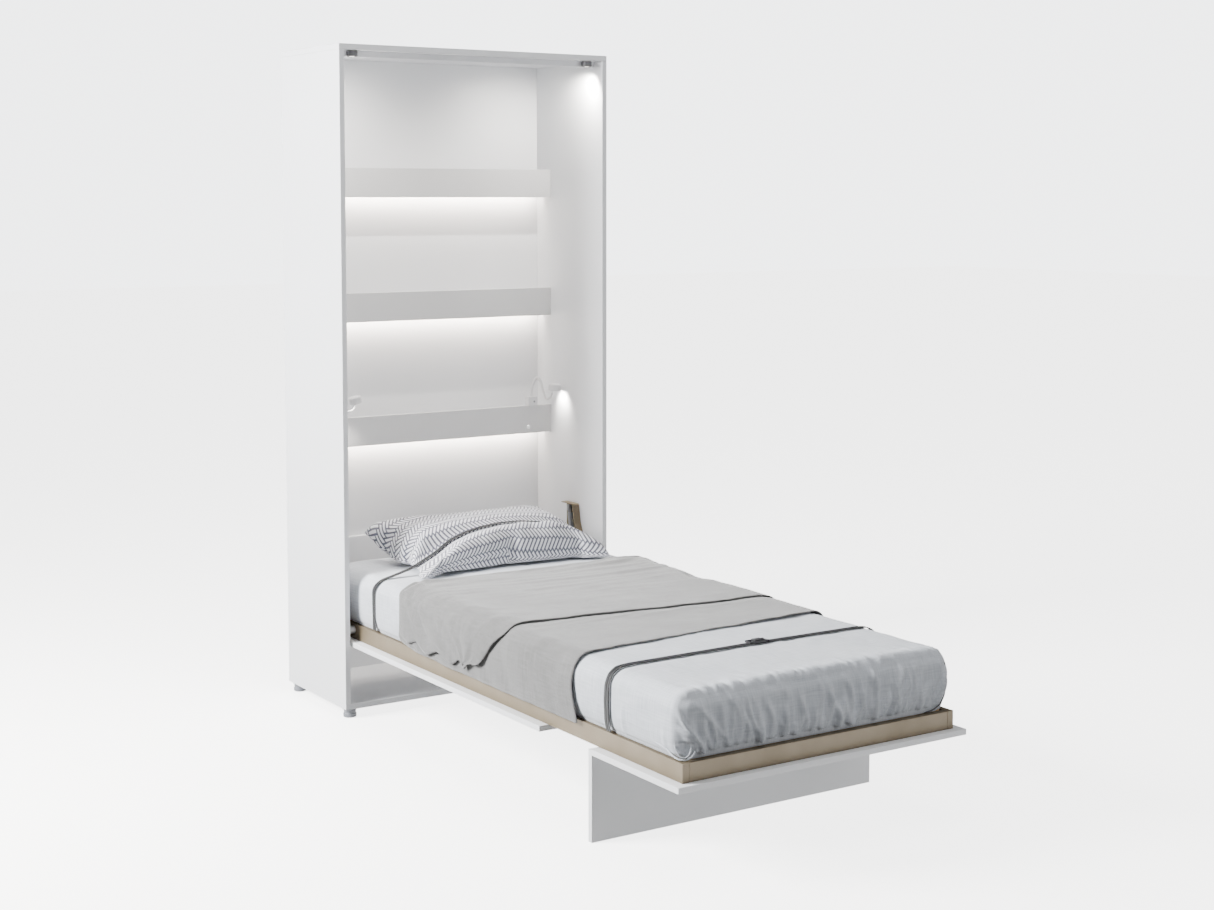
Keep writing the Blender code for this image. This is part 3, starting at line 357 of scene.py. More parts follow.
def add_mesh(name, points, faces, finish, uv=None, smooth=True):
    """A mesh from points and faces, with UV in metres where given, one pair for each point."""
    mesh = bpy.data.meshes.new(name)
    mesh.from_pydata([tuple(map(float, p)) for p in points], [], faces)
    mesh.materials.append(finish)
    if uv is not None:
        mesh.uv_layers.new(name="UVMap")
        set_uv(mesh, uv)
    if smooth:
        mesh.shade_smooth()
    mesh.update()
    return add_object(name, mesh)


def set_uv(mesh, uv):
    """Gives each point of a mesh one UV pair."""
    index = np.empty(len(mesh.loops), np.int32)
    mesh.loops.foreach_get("vertex_index", index)
    mesh.uv_layers[0].data.foreach_set("uv", np.asarray(uv, np.float32)[index].ravel())


def face_outwards(piece, sharp):
    """Turns the faces outwards and keeps edges sharper than this many degrees."""
    mesh = bmesh.new()
    mesh.from_mesh(piece.data)
    bmesh.ops.recalc_face_normals(mesh, faces=mesh.faces)
    mesh.to_mesh(piece.data)
    mesh.free()
    piece.data.set_sharp_from_angle(angle=math.radians(sharp))


def grid_faces(columns, rows, start=0, flip=False):
    """Quads over a grid of (columns, rows) points numbered row by row within each column."""
    faces = []
    for i in range(columns - 1):
        for j in range(rows - 1):
            a = start + i * rows + j
            quad = (a, a + rows, a + rows + 1, a + 1)
            faces.append(quad[::-1] if flip else quad)
    return faces


def smoothstep(value, low, high):
    t = np.clip((value - low) / (high - low), 0, 1)
    return t * t * (3 - 2 * t)


def ripple(points, scale, seed):
    """Smooth noise from -1 to 1 at points, where scale is the ripple's size in metres."""
    shift = Vector((seed * 13.7, seed * 7.3, seed * 3.1))
    return np.array([noise.noise(Vector(p) / scale + shift) for p in points])


def apply_modifiers(piece):
    graph = bpy.context.evaluated_depsgraph_get()
    mesh = bpy.data.meshes.new_from_object(piece.evaluated_get(graph))
    piece.modifiers.clear()
    piece.data = mesh


def get_points(piece):
    flat = np.empty(len(piece.data.vertices) * 3)
    piece.data.vertices.foreach_get("co", flat)
    return flat.reshape(-1, 3)


def set_points(piece, points):
    piece.data.vertices.foreach_set("co", np.asarray(points, float).ravel())
    piece.data.update()


def run_cloth(piece, frames, cloth, gravity=1.0, **settings):
    """Runs a Cloth modifier and leaves its result in the mesh."""
    modifier = piece.modifiers.new("cloth", "CLOTH")
    for key, value in cloth.items():
        setattr(modifier.settings, key, value)
    modifier.settings.effector_weights.gravity = gravity
    for key, value in settings.items():
        setattr(modifier.collision_settings, key, value)
    modifier.point_cache.frame_start = 1
    modifier.point_cache.frame_end = frames
    scene = bpy.context.scene
    for number in range(1, frames + 1):
        scene.frame_set(number)
    apply_modifiers(piece)
    scene.frame_set(1)


# ---------------------------------------------------------------- mattress in its fitted sheet


def make_mattress():
    """A rounded block with bulging sides, tucked under at the bottom and gathered at the foot."""
    low, high = MAT_LOW.copy(), MAT_HIGH.copy()
    centre, half = (low + high) / 2, (high - low) / 2
    half[0] -= 0.003
    half[1] -= 0.006
    radius = 0.044
    fine = 1.0
    foot_zone = 0.36  # the gathered foot end, which has closer stations
    split = -1 + 2 * foot_zone / (2 * half[1])
    gathered = np.linspace(-1, split, int(foot_zone / (0.0042 * fine)), endpoint=False)
    plain = np.linspace(split, 1, int((2 * half[1] - foot_zone) / (0.009 * fine)))
    stations = [np.linspace(-1, 1, int(2 * half[0] / (0.0052 * fine))),
                np.concatenate([gathered, plain]),
                np.linspace(-1, 1, int(2 * half[2] / (0.0055 * fine)))]
    points, faces, uv = [], [], []
    for axis in range(3):
        a, b = (axis + 1) % 3, (axis + 2) % 3
        for sign in (-1, 1):
            na, nb = len(stations[a]), len(stations[b])
            ga, gb = np.meshgrid(stations[a], stations[b], indexing="ij")
            side = np.zeros((na * nb, 3))
            side[:, a], side[:, b], side[:, axis] = ga.ravel(), gb.ravel(), sign
            faces += grid_faces(na, nb, len(points), flip=sign < 0)
            spots = side * half
            points += list(spots)
            first, second = [k for k in range(3) if k != axis]
            uv += [(spot[first], spot[second]) for spot in spots]
    p = np.array(points)
    inner = np.clip(p, -(half - radius), half - radius)
    out = p - inner
    length = np.linalg.norm(out, axis=1, keepdims=True)
    normal = np.where(length > 1e-9, out / np.maximum(length, 1e-9), 0)
    p = np.where(length > radius, inner + normal * radius, p)
    flat = length[:, 0] <= radius * 0.999
    # points inside the rounding's reach but on a flat face keep that face's normal
    face_axis = np.argmax(np.abs(points) / half, axis=1)
    for axis in range(3):
        rows = (face_axis == axis) & flat
        normal[rows] = 0
        normal[rows, axis] = np.sign(np.array(points)[rows, axis])
    t = (p[:, 2] + half[2]) / (2 * half[2])  # 0 at the bottom, 1 at the top
    side = np.hypot(normal[:, 0], normal[:, 1])
    # the lower edge is squarer than the upper one, and stands a little off the frame
    under = (normal[:, 2] < 0) & (side > 0.02)
    square = np.where(under, (1 - 0.22 * (1 - side)) / np.maximum(side, 0.02), 1.0)
    p[:, :2] = inner[:, :2] + (p - inner)[:, :2] * square[:, None]
    p[:, 2] += np.where(normal[:, 2] < 0, 0.0045 * smoothstep(side, 0.02, 0.2), 0)
    world = p + centre
    # the sides bulge in the middle and tuck in at the frame
    push = side * 0.0065 * np.sin(np.pi * np.clip(t, 0, 1)) ** 0.8
    push -= side * 0.008 * (1 - smoothstep(t, 0.0, 0.07))
    foot = smoothstep(-normal[:, 1], 0.2, 0.8)
    # gathers on the foot face, deeper towards the frame and fanned from the corners
    x = world[:, 0]
    fan = x + 0.10 * (0.5 - t) * np.sign(x) * np.abs(x / MAT_HALF) ** 2
    folds = np.zeros(len(p))
    random = np.random.default_rng(7)
    count, span = 58, 0.44
    for number in range(count):
        middle = -span + 2 * span * (number + random.uniform(-0.4, 0.4)) / (count - 1)
        wide = random.uniform(0.0045, 0.0105)
        deep = random.uniform(0.004, 0.013)
        reach = random.uniform(0.45, 1.15)
        lean = random.uniform(-0.045, 0.045)
        wander = 0.006 * np.sin(t * 7.0 + number)
        folds += deep * np.exp(-((fan - middle - lean * (t - 0.3) - wander) / wide) ** 2) \
            * (1 - smoothstep(t, reach * 0.55, reach)) * smoothstep(t, 0.0, 0.12)
    push += foot * (folds - 0.007)
    # shallower gathers along both sides near the foot and the head
    for number in range(60):
        middle = random.uniform(low[1], high[1])
        near = 1.0 if middle < low[1] + 0.45 else 0.35
        wide = random.uniform(0.006, 0.016)
        deep = random.uniform(0.0010, 0.0036) * near
        reach = random.uniform(0.3, 0.8)
        sign = random.choice((-1, 1))
        face = smoothstep(sign * normal[:, 0], 0.3, 0.9)
        push += face * deep * np.exp(-((world[:, 1] - middle) / wide) ** 2) \
            * (1 - smoothstep(t, reach * 0.5, reach))
    top = smoothstep(normal[:, 2], 0.5, 0.95)
    crown = (1 - (world[:, 0] / MAT_HALF) ** 2).clip(0) * 0.004
    push += top * crown
    push += top * 0.0030 * ripple(world * (1, 0.6, 1), 0.16, 1)
    push += top * 0.0018 * ripple(world * (1, 0.7, 1), 0.055, 2)
    push += top * 0.0007 * ripple(world * (1, 0.5, 1), 0.022, 12)
    # slack puckers where the sheet turns over the foot edge
    near_edge = np.exp(-((world[:, 1] - low[1] - 0.035) / 0.055) ** 2) * top
    crease = np.abs(ripple(world * (1.0, 0.35, 0.35) + (0.3 * world[:, 1:2]) * (1, 0, 0), 0.022, 3))
    push += near_edge * (0.0045 - 0.0105 * crease)
    mid = side * smoothstep(t, 0.3, 0.7)
    push += mid * 0.0016 * ripple(world, 0.05, 4)
    # the straps press in a little
    for y in (HEAD_STRAP_Y, FOOT_STRAP_Y):
        groove = np.exp(-((world[:, 1] - y) / 0.016) ** 4)
        groove *= (np.abs(normal[:, 1]) < 0.5)
        push -= groove * 0.0022
    world = world + normal * push[:, None]
    world[:, 2] = np.maximum(world[:, 2], FRAME_TOP + 0.0008)
    piece = add_mesh("mattress_in_sheet", world, faces, LINEN, uv)
    weld = piece.modifiers.new("weld", "WELD")
    weld.merge_threshold = 0.0001
    apply_modifiers(piece)
    piece.data.shade_smooth()
    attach(piece, "bed")
    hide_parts("mattress")


# The cords at the foot's corners: name, radius, finish, side, and a path from the corner of the mattress,
# with heights above the frame
CORDS = (
    ("sheet_loop_outer", 0.0022, LINEN, "left", (
        (0.002, 0.110, 0.026), (0.0005, 0.055, 0.020), (0.002, 0.016, 0.007), (0.012, 0.001, 0.004),
        (0.030, -0.003, 0.006), (0.046, -0.003, 0.020), (0.050, 0.001, 0.042))),
    ("sheet_loop_inner", 0.0018, LINEN, "left", (
        (0.006, 0.030, 0.046), (0.0015, 0.016, 0.026), (0.010, 0.002, 0.010), (0.026, -0.003, 0.014),
        (0.036, -0.002, 0.032))),
    # the right cord is black: painted shade along the seam down the foot's right corner, while the sheet's
    # own cords are linen
    ("sheet_seam_shade_right", 0.0016, STRAP, "right", (
        (-0.004, 0.012, MAT_TOP - FRAME_TOP - 0.040), (-0.001, 0.010, 0.100), (-0.006, 0.004, 0.060),
        (-0.022, -0.001, 0.030), (-0.050, -0.002, 0.010), (-0.085, -0.001, 0.004))),
)


def make_piping():
    """The fitted sheet's corded hem: two loops at the foot's left corner, and at its right a black cord that
    paints the shade along the corner's seam.
    """
    sides = {"left": MAT_LOW[0] + 0.001, "right": MAT_HIGH[0] - 0.008}
    foot = MAT_LOW[1] + 0.010
    for name, radius, finish, side, path in CORDS:
        curve = bpy.data.curves.new(name, "CURVE")
        curve.dimensions = "3D"
        curve.bevel_depth = radius
        curve.bevel_resolution = 2
        curve.resolution_u = 8
        curve.use_fill_caps = True
        spline = curve.splines.new("BEZIER")
        spline.bezier_points.add(len(path) - 1)
        for point, (x, y, z) in zip(spline.bezier_points, path):
            point.co = (sides[side] + x, foot + y, FRAME_TOP + z)
            point.handle_left_type = point.handle_right_type = "AUTO"
        made = add_object(name, curve)
        mesh = bpy.data.meshes.new_from_object(made.evaluated_get(bpy.context.evaluated_depsgraph_get()))
        bpy.data.objects.remove(made, do_unlink=True)
        mesh.materials.clear()
        mesh.materials.append(finish)
        mesh.shade_smooth()
        piece = add_object(name, mesh)
        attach(piece, "bed")


# ---------------------------------------------------------------- pillow

# The strap's height above the floor across the bed, from left to right
STRAP_OVER_PILLOW = (
    (-0.453, 0.310), (-0.4555, 0.440), (-0.4445, 0.4555), (-0.424, 0.4685), (-0.3875, 0.4767),
    (-0.319, 0.495), (-0.232, 0.5375), (-0.176, 0.574), (-0.117, 0.5945), (-0.060, 0.6055),
    (0.005, 0.6126), (0.089, 0.6113), (0.175, 0.600), (0.255, 0.5757), (0.318, 0.541),
    (0.372, 0.500), (0.412, 0.4795), (0.432, 0.4675), (0.4445, 0.4555), (0.4555, 0.440), (0.453, 0.310),
)


def strap_height(x):
    spots = np.array(STRAP_OVER_PILLOW[2:-2])
    return np.interp(x, spots[:, 0], spots[:, 1])


def make_pillow():
    """A sewn pillow, inflated as cloth, laid on the mattress and pinched by the strap."""
    half_x, half_y = 0.385, 0.255
    columns, rows = ((88, 60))
    gx, gy = np.meshgrid(np.linspace(-1, 1, columns), np.linspace(-1, 1, rows), indexing="ij")
    u, v = gx.ravel(), gy.ravel()
    dome = ((1 - u ** 2) * (1 - v ** 2)).clip(0) ** 0.5
    rim = (np.abs(u) > 0.9999) | (np.abs(v) > 0.9999)
    faces = grid_faces(columns, rows)
    puff = 0.022 * dome
    top = np.stack([u * half_x, v * half_y, puff], 1)
    bottom = np.stack([u * half_x, v * half_y, -puff], 1)
    count = len(top)
    under = np.where(rim, np.arange(count), 0)
    inner = np.flatnonzero(~rim)
    under[inner] = count + np.arange(len(inner))
    points = np.concatenate([top, bottom[inner]])
    flat = np.stack([u * half_x, v * half_y], 1)
    uv = np.concatenate([flat, flat[inner]])
    faces += [tuple(under[i] for i in face[::-1]) for face in faces]
    piece = add_mesh("pillow_printed", points, faces, PRINT, uv)
    run_cloth(piece, 24, {
        "quality": 6, "mass": 0.25, "tension_stiffness": 12, "compression_stiffness": 12,
        "shear_stiffness": 4, "bending_stiffness": 0.25, "use_pressure": True,
        "uniform_pressure_force": 3.2, "air_damping": 2.0,
    }, gravity=0.0, use_collision=False)
    p = get_points(piece)
    p -= (p.min(0) + p.max(0)) / 2
    size = np.abs(p).max(0)
    u, v = p[:, 0] / size[0], p[:, 1] / size[1]
    thick = p[:, 2] / size[2]
    # lies flat underneath; its back edge is propped up and the left back corner stands out
    x = 0.014 + u * 0.362
    y = (PILLOW[0][1] + PILLOW[1][1]) / 2 + 0.004 + v * 0.212
    upper = thick > 0
    depth = np.where(upper, 0.136 * np.abs(thick) ** 0.72, 0.022 * np.abs(thick))
    base = MAT_TOP + 0.0275
    z = base + np.where(upper, depth, -depth)
    lift = 0.050 * smoothstep(v, 0.30, 1.0) + 0.020 * smoothstep(v, 0.5, 1.0) * smoothstep(-u, 0.4, 1.0)
    z += lift
    front = smoothstep(-v, 0.55, 1.0)
    z -= front * 0.017
    rounding = ripple(np.stack([x, y, z], 1), 0.09, 5)
    z += np.where(upper, 0.002, 0.001) * rounding
    # the front lobe stands over the strap, more to the right
    lobe = np.exp(-((y - HEAD_STRAP_Y + 0.050) / 0.036) ** 2) * smoothstep(x, -0.25, 0.08)
    z += np.where(upper, 0.020, 0) * lobe * (1 - np.abs(u) ** 4).clip(0) * np.abs(thick) ** 0.3
    # the strap pinches it
    wanted = strap_height(x) - 0.0048
    away = y - HEAD_STRAP_Y
    pinch = 1 - smoothstep(np.abs(away), 0.013, 0.040)
    shoulder = np.exp(-(away / 0.075) ** 2)
    over = np.maximum(z - wanted, 0)
    behind = np.where(away > 0, 0.40, 0.16)
    z = np.where(upper, z - over * np.clip(pinch + behind * shoulder, 0, 1), z)
    lifted = np.maximum(wanted - 0.004 - z, 0)
    z = np.where(upper, z + lifted * shoulder * 0.8, z)
    # in front of the strap the lobe stays under it at the left and just tops it at the right
    cap = strap_height(x) - 0.006 + 0.016 * smoothstep(x, -0.02, 0.16)
    z = np.where(upper & (away < 0) & (z > cap), cap + (z - cap) * 0.08, z)
    # creases fan out of the pinch
    wander = 2.5 * ripple(np.stack([x, y * 0.3, z * 0], 1), 0.12, 6)
    fan = np.sin((x + 0.35 * away) / 0.021 + wander)
    reach = np.exp(-np.abs(away) / 0.045) * (1 - pinch)
    z += np.where(upper, 0.0016, 0) * fan * reach
    z = np.maximum(z, MAT_TOP + 0.0052)
    p = np.stack([x, y, z], 1)
    set_points(piece, p)
    # UV follows the inflated surface, by the mean length of its rows and columns
    face = p[:count].reshape(columns, rows, 3)
    for axis, cells in ((0, columns), (1, rows)):
        spans = np.linalg.norm(np.diff(face, axis=axis), axis=2)
        run = np.insert(np.cumsum(spans, axis=axis), 0, 0, axis=axis)
        mean = run.mean(axis=1 - axis)
        mean -= mean[cells // 2]
        uv[:count, axis] = np.repeat(mean, rows) if axis == 0 else np.tile(mean, columns)
        uv[count:, axis] *= uv[:count, axis].max() / (half_x, half_y)[axis]
    uv[:, 1] *= 0.72  # the print is stretched a little across the pillow
    set_uv(piece.data, uv)
    smooth = piece.modifiers.new("soften", "SMOOTH")
    smooth.factor = 0.5
    smooth.iterations = 2
    fine = piece.modifiers.new("fine", "SUBSURF")
    fine.levels = fine.render_levels = 1
    apply_modifiers(piece)
    piece.data.shade_smooth()
    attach(piece, "bed")
    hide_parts("pillow")


# ---------------------------------------------------------------- blanket


def bed_collider():
    """A plain rounded block, the mattress in its sheet, for the blanket to fall on."""
    shape = bmesh.new()
    bmesh.ops.create_cube(shape, size=1)
    top = MAT_TOP + 0.003  # the sheet's crown stands above the CAD mattress
    size = (2 * 0.4535, MAT_HIGH[1] - MAT_LOW[1], top - FRAME_TOP)
    bmesh.ops.scale(shape, vec=size, verts=shape.verts)
    edges = [e for e in shape.edges if all(v.co.z > 0 for v in e.verts)]
    bmesh.ops.bevel(shape, geom=edges, offset=0.042, segments=7, profile=0.5, affect="EDGES")
    centre = (MAT_LOW + MAT_HIGH) / 2
    centre[2] = (top + FRAME_TOP) / 2
    bmesh.ops.translate(shape, vec=centre, verts=shape.verts)
    mesh = bpy.data.meshes.new("blanket_rest")
    shape.to_mesh(mesh)
    shape.free()
    piece = add_object("blanket_rest", mesh)
    piece.modifiers.new("collision", "COLLISION")
    piece.collision.thickness_outer = 0.002
    piece.collision.cloth_friction = 15
    return piece


BLANKET_WIDE = 1.235
BLANKET_LOWER = 1.005  # foot edge to the fold at the head
BLANKET_UPPER = 0.700  # fold to the upper layer's edge
BLANKET_HEAD = 0.280  # cabinet's front to the fold
BLANKET_WALL = 0.0022  # thickness of the cloth
HEM_LOWEST = 0.262  # the hanging sides end no lower than this

# Where each reading lamp's head comes over the closed bed: x, the greatest height there, and how far round
LAMP_CLEARANCES = ((-0.324, 0.4825, 0.080), (0.448, 0.4700, 0.060))
LAMP_FROM_FRONT = 0.66  # the lamps' place along the bed, from the cabinet's front


def make_blanket():
    """A throw folded over on itself at the head end, dropped over the bed as cloth."""
    rest = bed_collider()
    step = 0.0158
    columns = int(BLANKET_WIDE / step)
    length = BLANKET_LOWER + BLANKET_UPPER
    rows = int(length / step)
    gx, gs = np.meshgrid(np.linspace(-0.5, 0.5, columns) * BLANKET_WIDE,
                         np.linspace(0, length, rows), indexing="ij")
    x, s = gx.ravel(), gs.ravel()
    head = CAB_FRONT - BLANKET_HEAD
    foot = head - BLANKET_LOWER
    turn = 0.010  # half the space between the layers at the fold
    bend = math.pi * turn
    y = np.empty_like(s)
    z = np.zeros_like(s)
    first = s < BLANKET_LOWER - bend / 2
    second = s > BLANKET_LOWER + bend / 2
    middle = ~first & ~second
    y[first] = foot + s[first]
    angle = (s[middle] - (BLANKET_LOWER - bend / 2)) / turn
    y[middle] = head - bend / 2 + turn * np.sin(angle)
    z[middle] = turn * (1 - np.cos(angle))
    y[second] = head - bend / 2 - (s[second] - BLANKET_LOWER - bend / 2)
    z[second] = 2 * turn
    skew = smoothstep(s, BLANKET_LOWER, length)
    y = y + skew * (-0.030 * np.sin(x * 3.0) - 0.020 * x / 0.6)
    y = y - (1 - smoothstep(s, 0, BLANKET_LOWER)) * (-0.045 * x / 0.6)
    points = np.stack([x + skew * 0.006 * np.sin(s * 40), y, z + MAT_TOP + 0.012], 1)
    points[:, 2] += 0.0015 * ripple(points, 0.05, 8)
    uv = np.stack([x, s], 1)
    piece = add_mesh("blanket_throw", points, grid_faces(columns, rows), WOOL, uv)
    run_cloth(piece, 66, {
        "quality": 6, "mass": 0.35, "tension_stiffness": 18, "compression_stiffness": 18,
        "shear_stiffness": 8, "bending_stiffness": 0.6, "air_damping": 1.2,
    }, use_collision=True, collision_quality=4, distance_min=0.003,
        use_self_collision=True, self_distance_min=0.0035, self_friction=8)
    bpy.data.objects.remove(rest, do_unlink=True)
    p = get_points(piece)
    p = hang_pleats(p, s)
    # clear of the side panels and the hinge plates while the bed closes, and of the reading lamps
    y = p[:, 1] - CAB_FRONT
    room = 0.4568 + 0.0195 * smoothstep(-y, 0.285, 0.34)
    p[:, 0] = np.clip(p[:, 0], -room, room)
    upper = smoothstep(s, BLANKET_LOWER - 0.02, BLANKET_LOWER + 0.02)
    for across, ceiling, reach in LAMP_CLEARANCES:
        near = np.exp(-(np.hypot(p[:, 0] - across, y + LAMP_FROM_FRONT) / reach) ** 4)
        p[:, 2] -= near * (p[:, 2] - ceiling + 0.0035 * (1 - upper)).clip(0)
    p[:, 2] = np.maximum(p[:, 2], HEM_LOWEST)
    set_points(piece, p)
    fine = piece.modifiers.new("fine", "SUBSURF")
    fine.levels = fine.render_levels = 1
    wall = piece.modifiers.new("thick", "SOLIDIFY")
    wall.thickness = BLANKET_WALL
    wall.offset = 0.0
    wall.use_rim = True
    apply_modifiers(piece)
    piece.data.shade_smooth()
    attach(piece, "bed")
    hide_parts("blanket")
    return piece


# Where each pleat starts along the bed, how far it leans by the hem, and its depth
PLEATS = ((-0.300, 0.215, 0.012), (-0.385, 0.170, 0.010), (-0.470, 0.230, 0.012), (-0.560, 0.190, 0.007),
          (-0.640, 0.150, 0.011), (-0.760, 0.120, 0.008), (-0.900, 0.090, 0.007), (-1.040, 0.060, 0.006))


def hang_pleats(p, s):
    """Gathers the sides into soft leaning pleats and lets the free edges wander."""
    upper = smoothstep(s, BLANKET_LOWER - 0.02, BLANKET_LOWER + 0.02)
    y = p[:, 1] - CAB_FRONT
    flank = np.abs(p[:, 0]) - 0.425
    down = ((MAT_TOP - 0.012 - p[:, 2]) / (MAT_TOP - FRAME_TOP)).clip(0, 1) * (flank > 0)
    left = p[:, 0] < 0
    # the upper layer's corner swings back along the bed as it falls
    corner = smoothstep(-y, 0.66, 0.98) * upper * left
    p[:, 1] += corner * 0.215 * down ** 1.15
    p[:, 2] += corner * 0.030 * down * np.sin(down * 9.0)
    slow = ripple(np.stack([p[:, 0] * 0, y, down * 0.05], 1), 0.11, 21)
    tucks = np.zeros(len(p))
    for start, slope, deep in PLEATS:
        away = y + slow * 0.012 + slope * down - start
        tucks += deep * np.where(away > 0, np.exp(-away / 0.013), np.exp(away / 0.045))
    saw = np.abs(((y + 0.20 * down + 0.05 * slow) / 0.135) % 1.0 * 2 - 1) - 0.5
    amount = smoothstep(down, 0.02, 0.55) * np.where(left, 1.0, 0.45) * (0.5 + 0.5 * upper)
    outward = (0.0145 - 1.35 * tucks + 0.003 * slow) * amount
    p[:, 0] += np.sign(p[:, 0]) * np.maximum(outward, -0.001)
    hem = 0.030 * (saw + 0.5) + 0.012 * (slow + 0.3).clip(0)
    p[:, 2] += (hem * down * upper * np.where(left, 1.0, 0.5) * (1 - corner)).clip(0)
    # long shallow creases running from the left edge over the top
    top = (1 - down) * smoothstep(0.44 - np.abs(p[:, 0]), -0.02, 0.05)
    p[:, 2] += top * 0.0022 * (ripple(p * (0.45, 1.0, 0.4), 0.075, 22) + 0.3)
    p[:, 2] += top * 0.0010 * ripple(p * (0.6, 1.0, 0.4), 0.030, 23)
    rim = np.exp(-((np.abs(p[:, 0]) - 0.44) / 0.05) ** 2) * np.where(left, 1.0, 0.4)
    slanted = ripple(np.stack([p[:, 0] * 0.5, y + 0.4 * p[:, 0], y * 0], 1), 0.045, 26)
    p[:, 2] += rim * (1 - down) * 0.0045 * (slanted + 0.3).clip(0)
    # the two foot-side edges wander and lift here and there
    for edge, number in ((0.0, 24), (BLANKET_LOWER + BLANKET_UPPER, 25)):
        near = np.exp(-np.abs(s - edge) / 0.05)
        p[:, 1] += near * 0.011 * ripple(np.stack([p[:, 0], y * 0, down * 0.1], 1), 0.10, number)
        p[:, 1] += near * 0.004 * ripple(np.stack([p[:, 0], y * 0, down * 0.1], 1), 0.035, number + 5)
        p[:, 2] += near * (1 - down) * 0.0035 * (ripple(p * (1, 0.1, 0), 0.06, number) - 0.1).clip(0)
    p[:, 1] += smoothstep(-y, 1.05, 1.18) * left * 0.012 * np.sin(down * 4.2) * (1 - upper)
    return p


# ---------------------------------------------------------------- straps


def band(name, path, middle_y, wide, thick):
    """A flat band along an (x, z) path, with rounded edges and UV along and across it."""
    spots = np.array(path)
    spans = np.linalg.norm(np.diff(spots, axis=0), axis=1)
    at = np.concatenate([[0], np.cumsum(spans)])
    count = int(at[-1] / 0.006)
    s = np.linspace(0, at[-1], count)
    x = np.interp(s, at, spots[:, 0])
    z = np.interp(s, at, spots[:, 1])
    for _ in range(3):
        x[1:-1] = (x[:-2] + 2 * x[1:-1] + x[2:]) / 4
        z[1:-1] = (z[:-2] + 2 * z[1:-1] + z[2:]) / 4
    along = np.stack([np.gradient(x), np.gradient(z)], 1)
    along /= np.linalg.norm(along, axis=1, keepdims=True)
    out = np.stack([-along[:, 1], along[:, 0]], 1)
    half, rim = wide / 2, thick * 0.5
    ring = [(-half, 0.0), (-half + rim * 0.3, rim * 0.8), (-half + rim, thick), (half - rim, thick),
            (half - rim * 0.3, rim * 0.8), (half, 0.0), (half - rim * 0.3, -rim * 0.2),
            (-half + rim * 0.3, -rim * 0.2)]
    points, uv, faces = [], [], []
    for i in range(count):
        for across, up in ring:
            points.append((x[i] + out[i, 0] * up, middle_y + across, z[i] + out[i, 1] * up))
            uv.append((s[i], across))
    n = len(ring)
    for i in range(count - 1):
        for j in range(n):
            k = (j + 1) % n
            faces.append((i * n + j, i * n + k, (i + 1) * n + k, (i + 1) * n + j))
    faces.append(tuple(range(n - 1, -1, -1)))
    faces.append(tuple((count - 1) * n + j for j in range(n)))
    piece = add_mesh(name, points, faces, STRAP, uv)
    face_outwards(piece, 50)
    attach(piece, "bed")
    return piece


STRAP_WIDE = 0.0102  # each of the two bands that make up one strap
STRAP_THICK = 0.0016
STRAP_ASIDE = 0.0056  # from the strap's middle to each band's
STRAP_LIES_AT = 0.4765  # the foot strap's height in the middle of the bed

FOOT_STRAP_PATH = (
    (-0.4520, 0.306), (-0.4585, 0.330), (-0.4610, 0.385), (-0.4585, 0.430), (-0.4480, 0.4560),
    (-0.4250, 0.4715), (-0.387, 0.4745), (-0.20, 0.4755), (0.0, STRAP_LIES_AT), (0.20, 0.4755),
    (0.387, 0.4745), (0.4250, 0.4715), (0.4480, 0.4560), (0.4585, 0.430), (0.4610, 0.385),
    (0.4585, 0.330), (0.4520, 0.306),
)


def make_straps():
    for label, path, middle in (("head", STRAP_OVER_PILLOW, HEAD_STRAP_Y),
                                ("foot", FOOT_STRAP_PATH, FOOT_STRAP_Y)):
        pieces = [band(label + "_strap_band_" + str(n + 1), path, middle + shift, STRAP_WIDE, STRAP_THICK)
                  for n, shift in enumerate((-STRAP_ASIDE, STRAP_ASIDE))]
        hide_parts(label + "_strap")


def make_buckle():
    """A cam buckle: a four-sided frame round a plate with five ribs."""
    (x0, y0, _), (x1, y1, _) = corners("strap_buckle")
    base = STRAP_LIES_AT + 0.0022
    parts = bmesh.new()

    def block(a, b):
        made = bmesh.ops.create_cube(parts, size=1)["verts"]
        bmesh.ops.scale(parts, vec=[q - p for p, q in zip(a, b)], verts=made)
        bmesh.ops.translate(parts, vec=[(p + q) / 2 for p, q in zip(a, b)], verts=made)

    block((x0, y0, base), (x0 + 0.006, y1, base + 0.005))
    block((x1 - 0.006, y0, base), (x1, y1, base + 0.005))
    block((x0, y0, base), (x1, y0 + 0.004, base + 0.006))
    block((x0, y1 - 0.004, base), (x1, y1, base + 0.006))
    block((x0 + 0.018, y0 + 0.0045, base + 0.0015), (x1 - 0.016, y1 - 0.0045, base + 0.0085))
    for n in range(5):
        x = x0 + 0.020 + n * 0.005
        block((x, y0 + 0.006, base + 0.008), (x + 0.0022, y1 - 0.006, base + 0.0100))
    mesh = bpy.data.meshes.new("cam_buckle")
    parts.to_mesh(mesh)
    parts.free()
    mesh.materials.append(plastic_finish("buckle_black", (0.025, 0.025, 0.028), 0.45))
    piece = add_object("cam_buckle", mesh)
    edge = piece.modifiers.new("edges", "BEVEL")
    edge.width = 0.0006
    edge.segments = 2
    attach(piece, "bed")
    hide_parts("strap_buckle")


# ---------------------------------------------------------------- small fittings


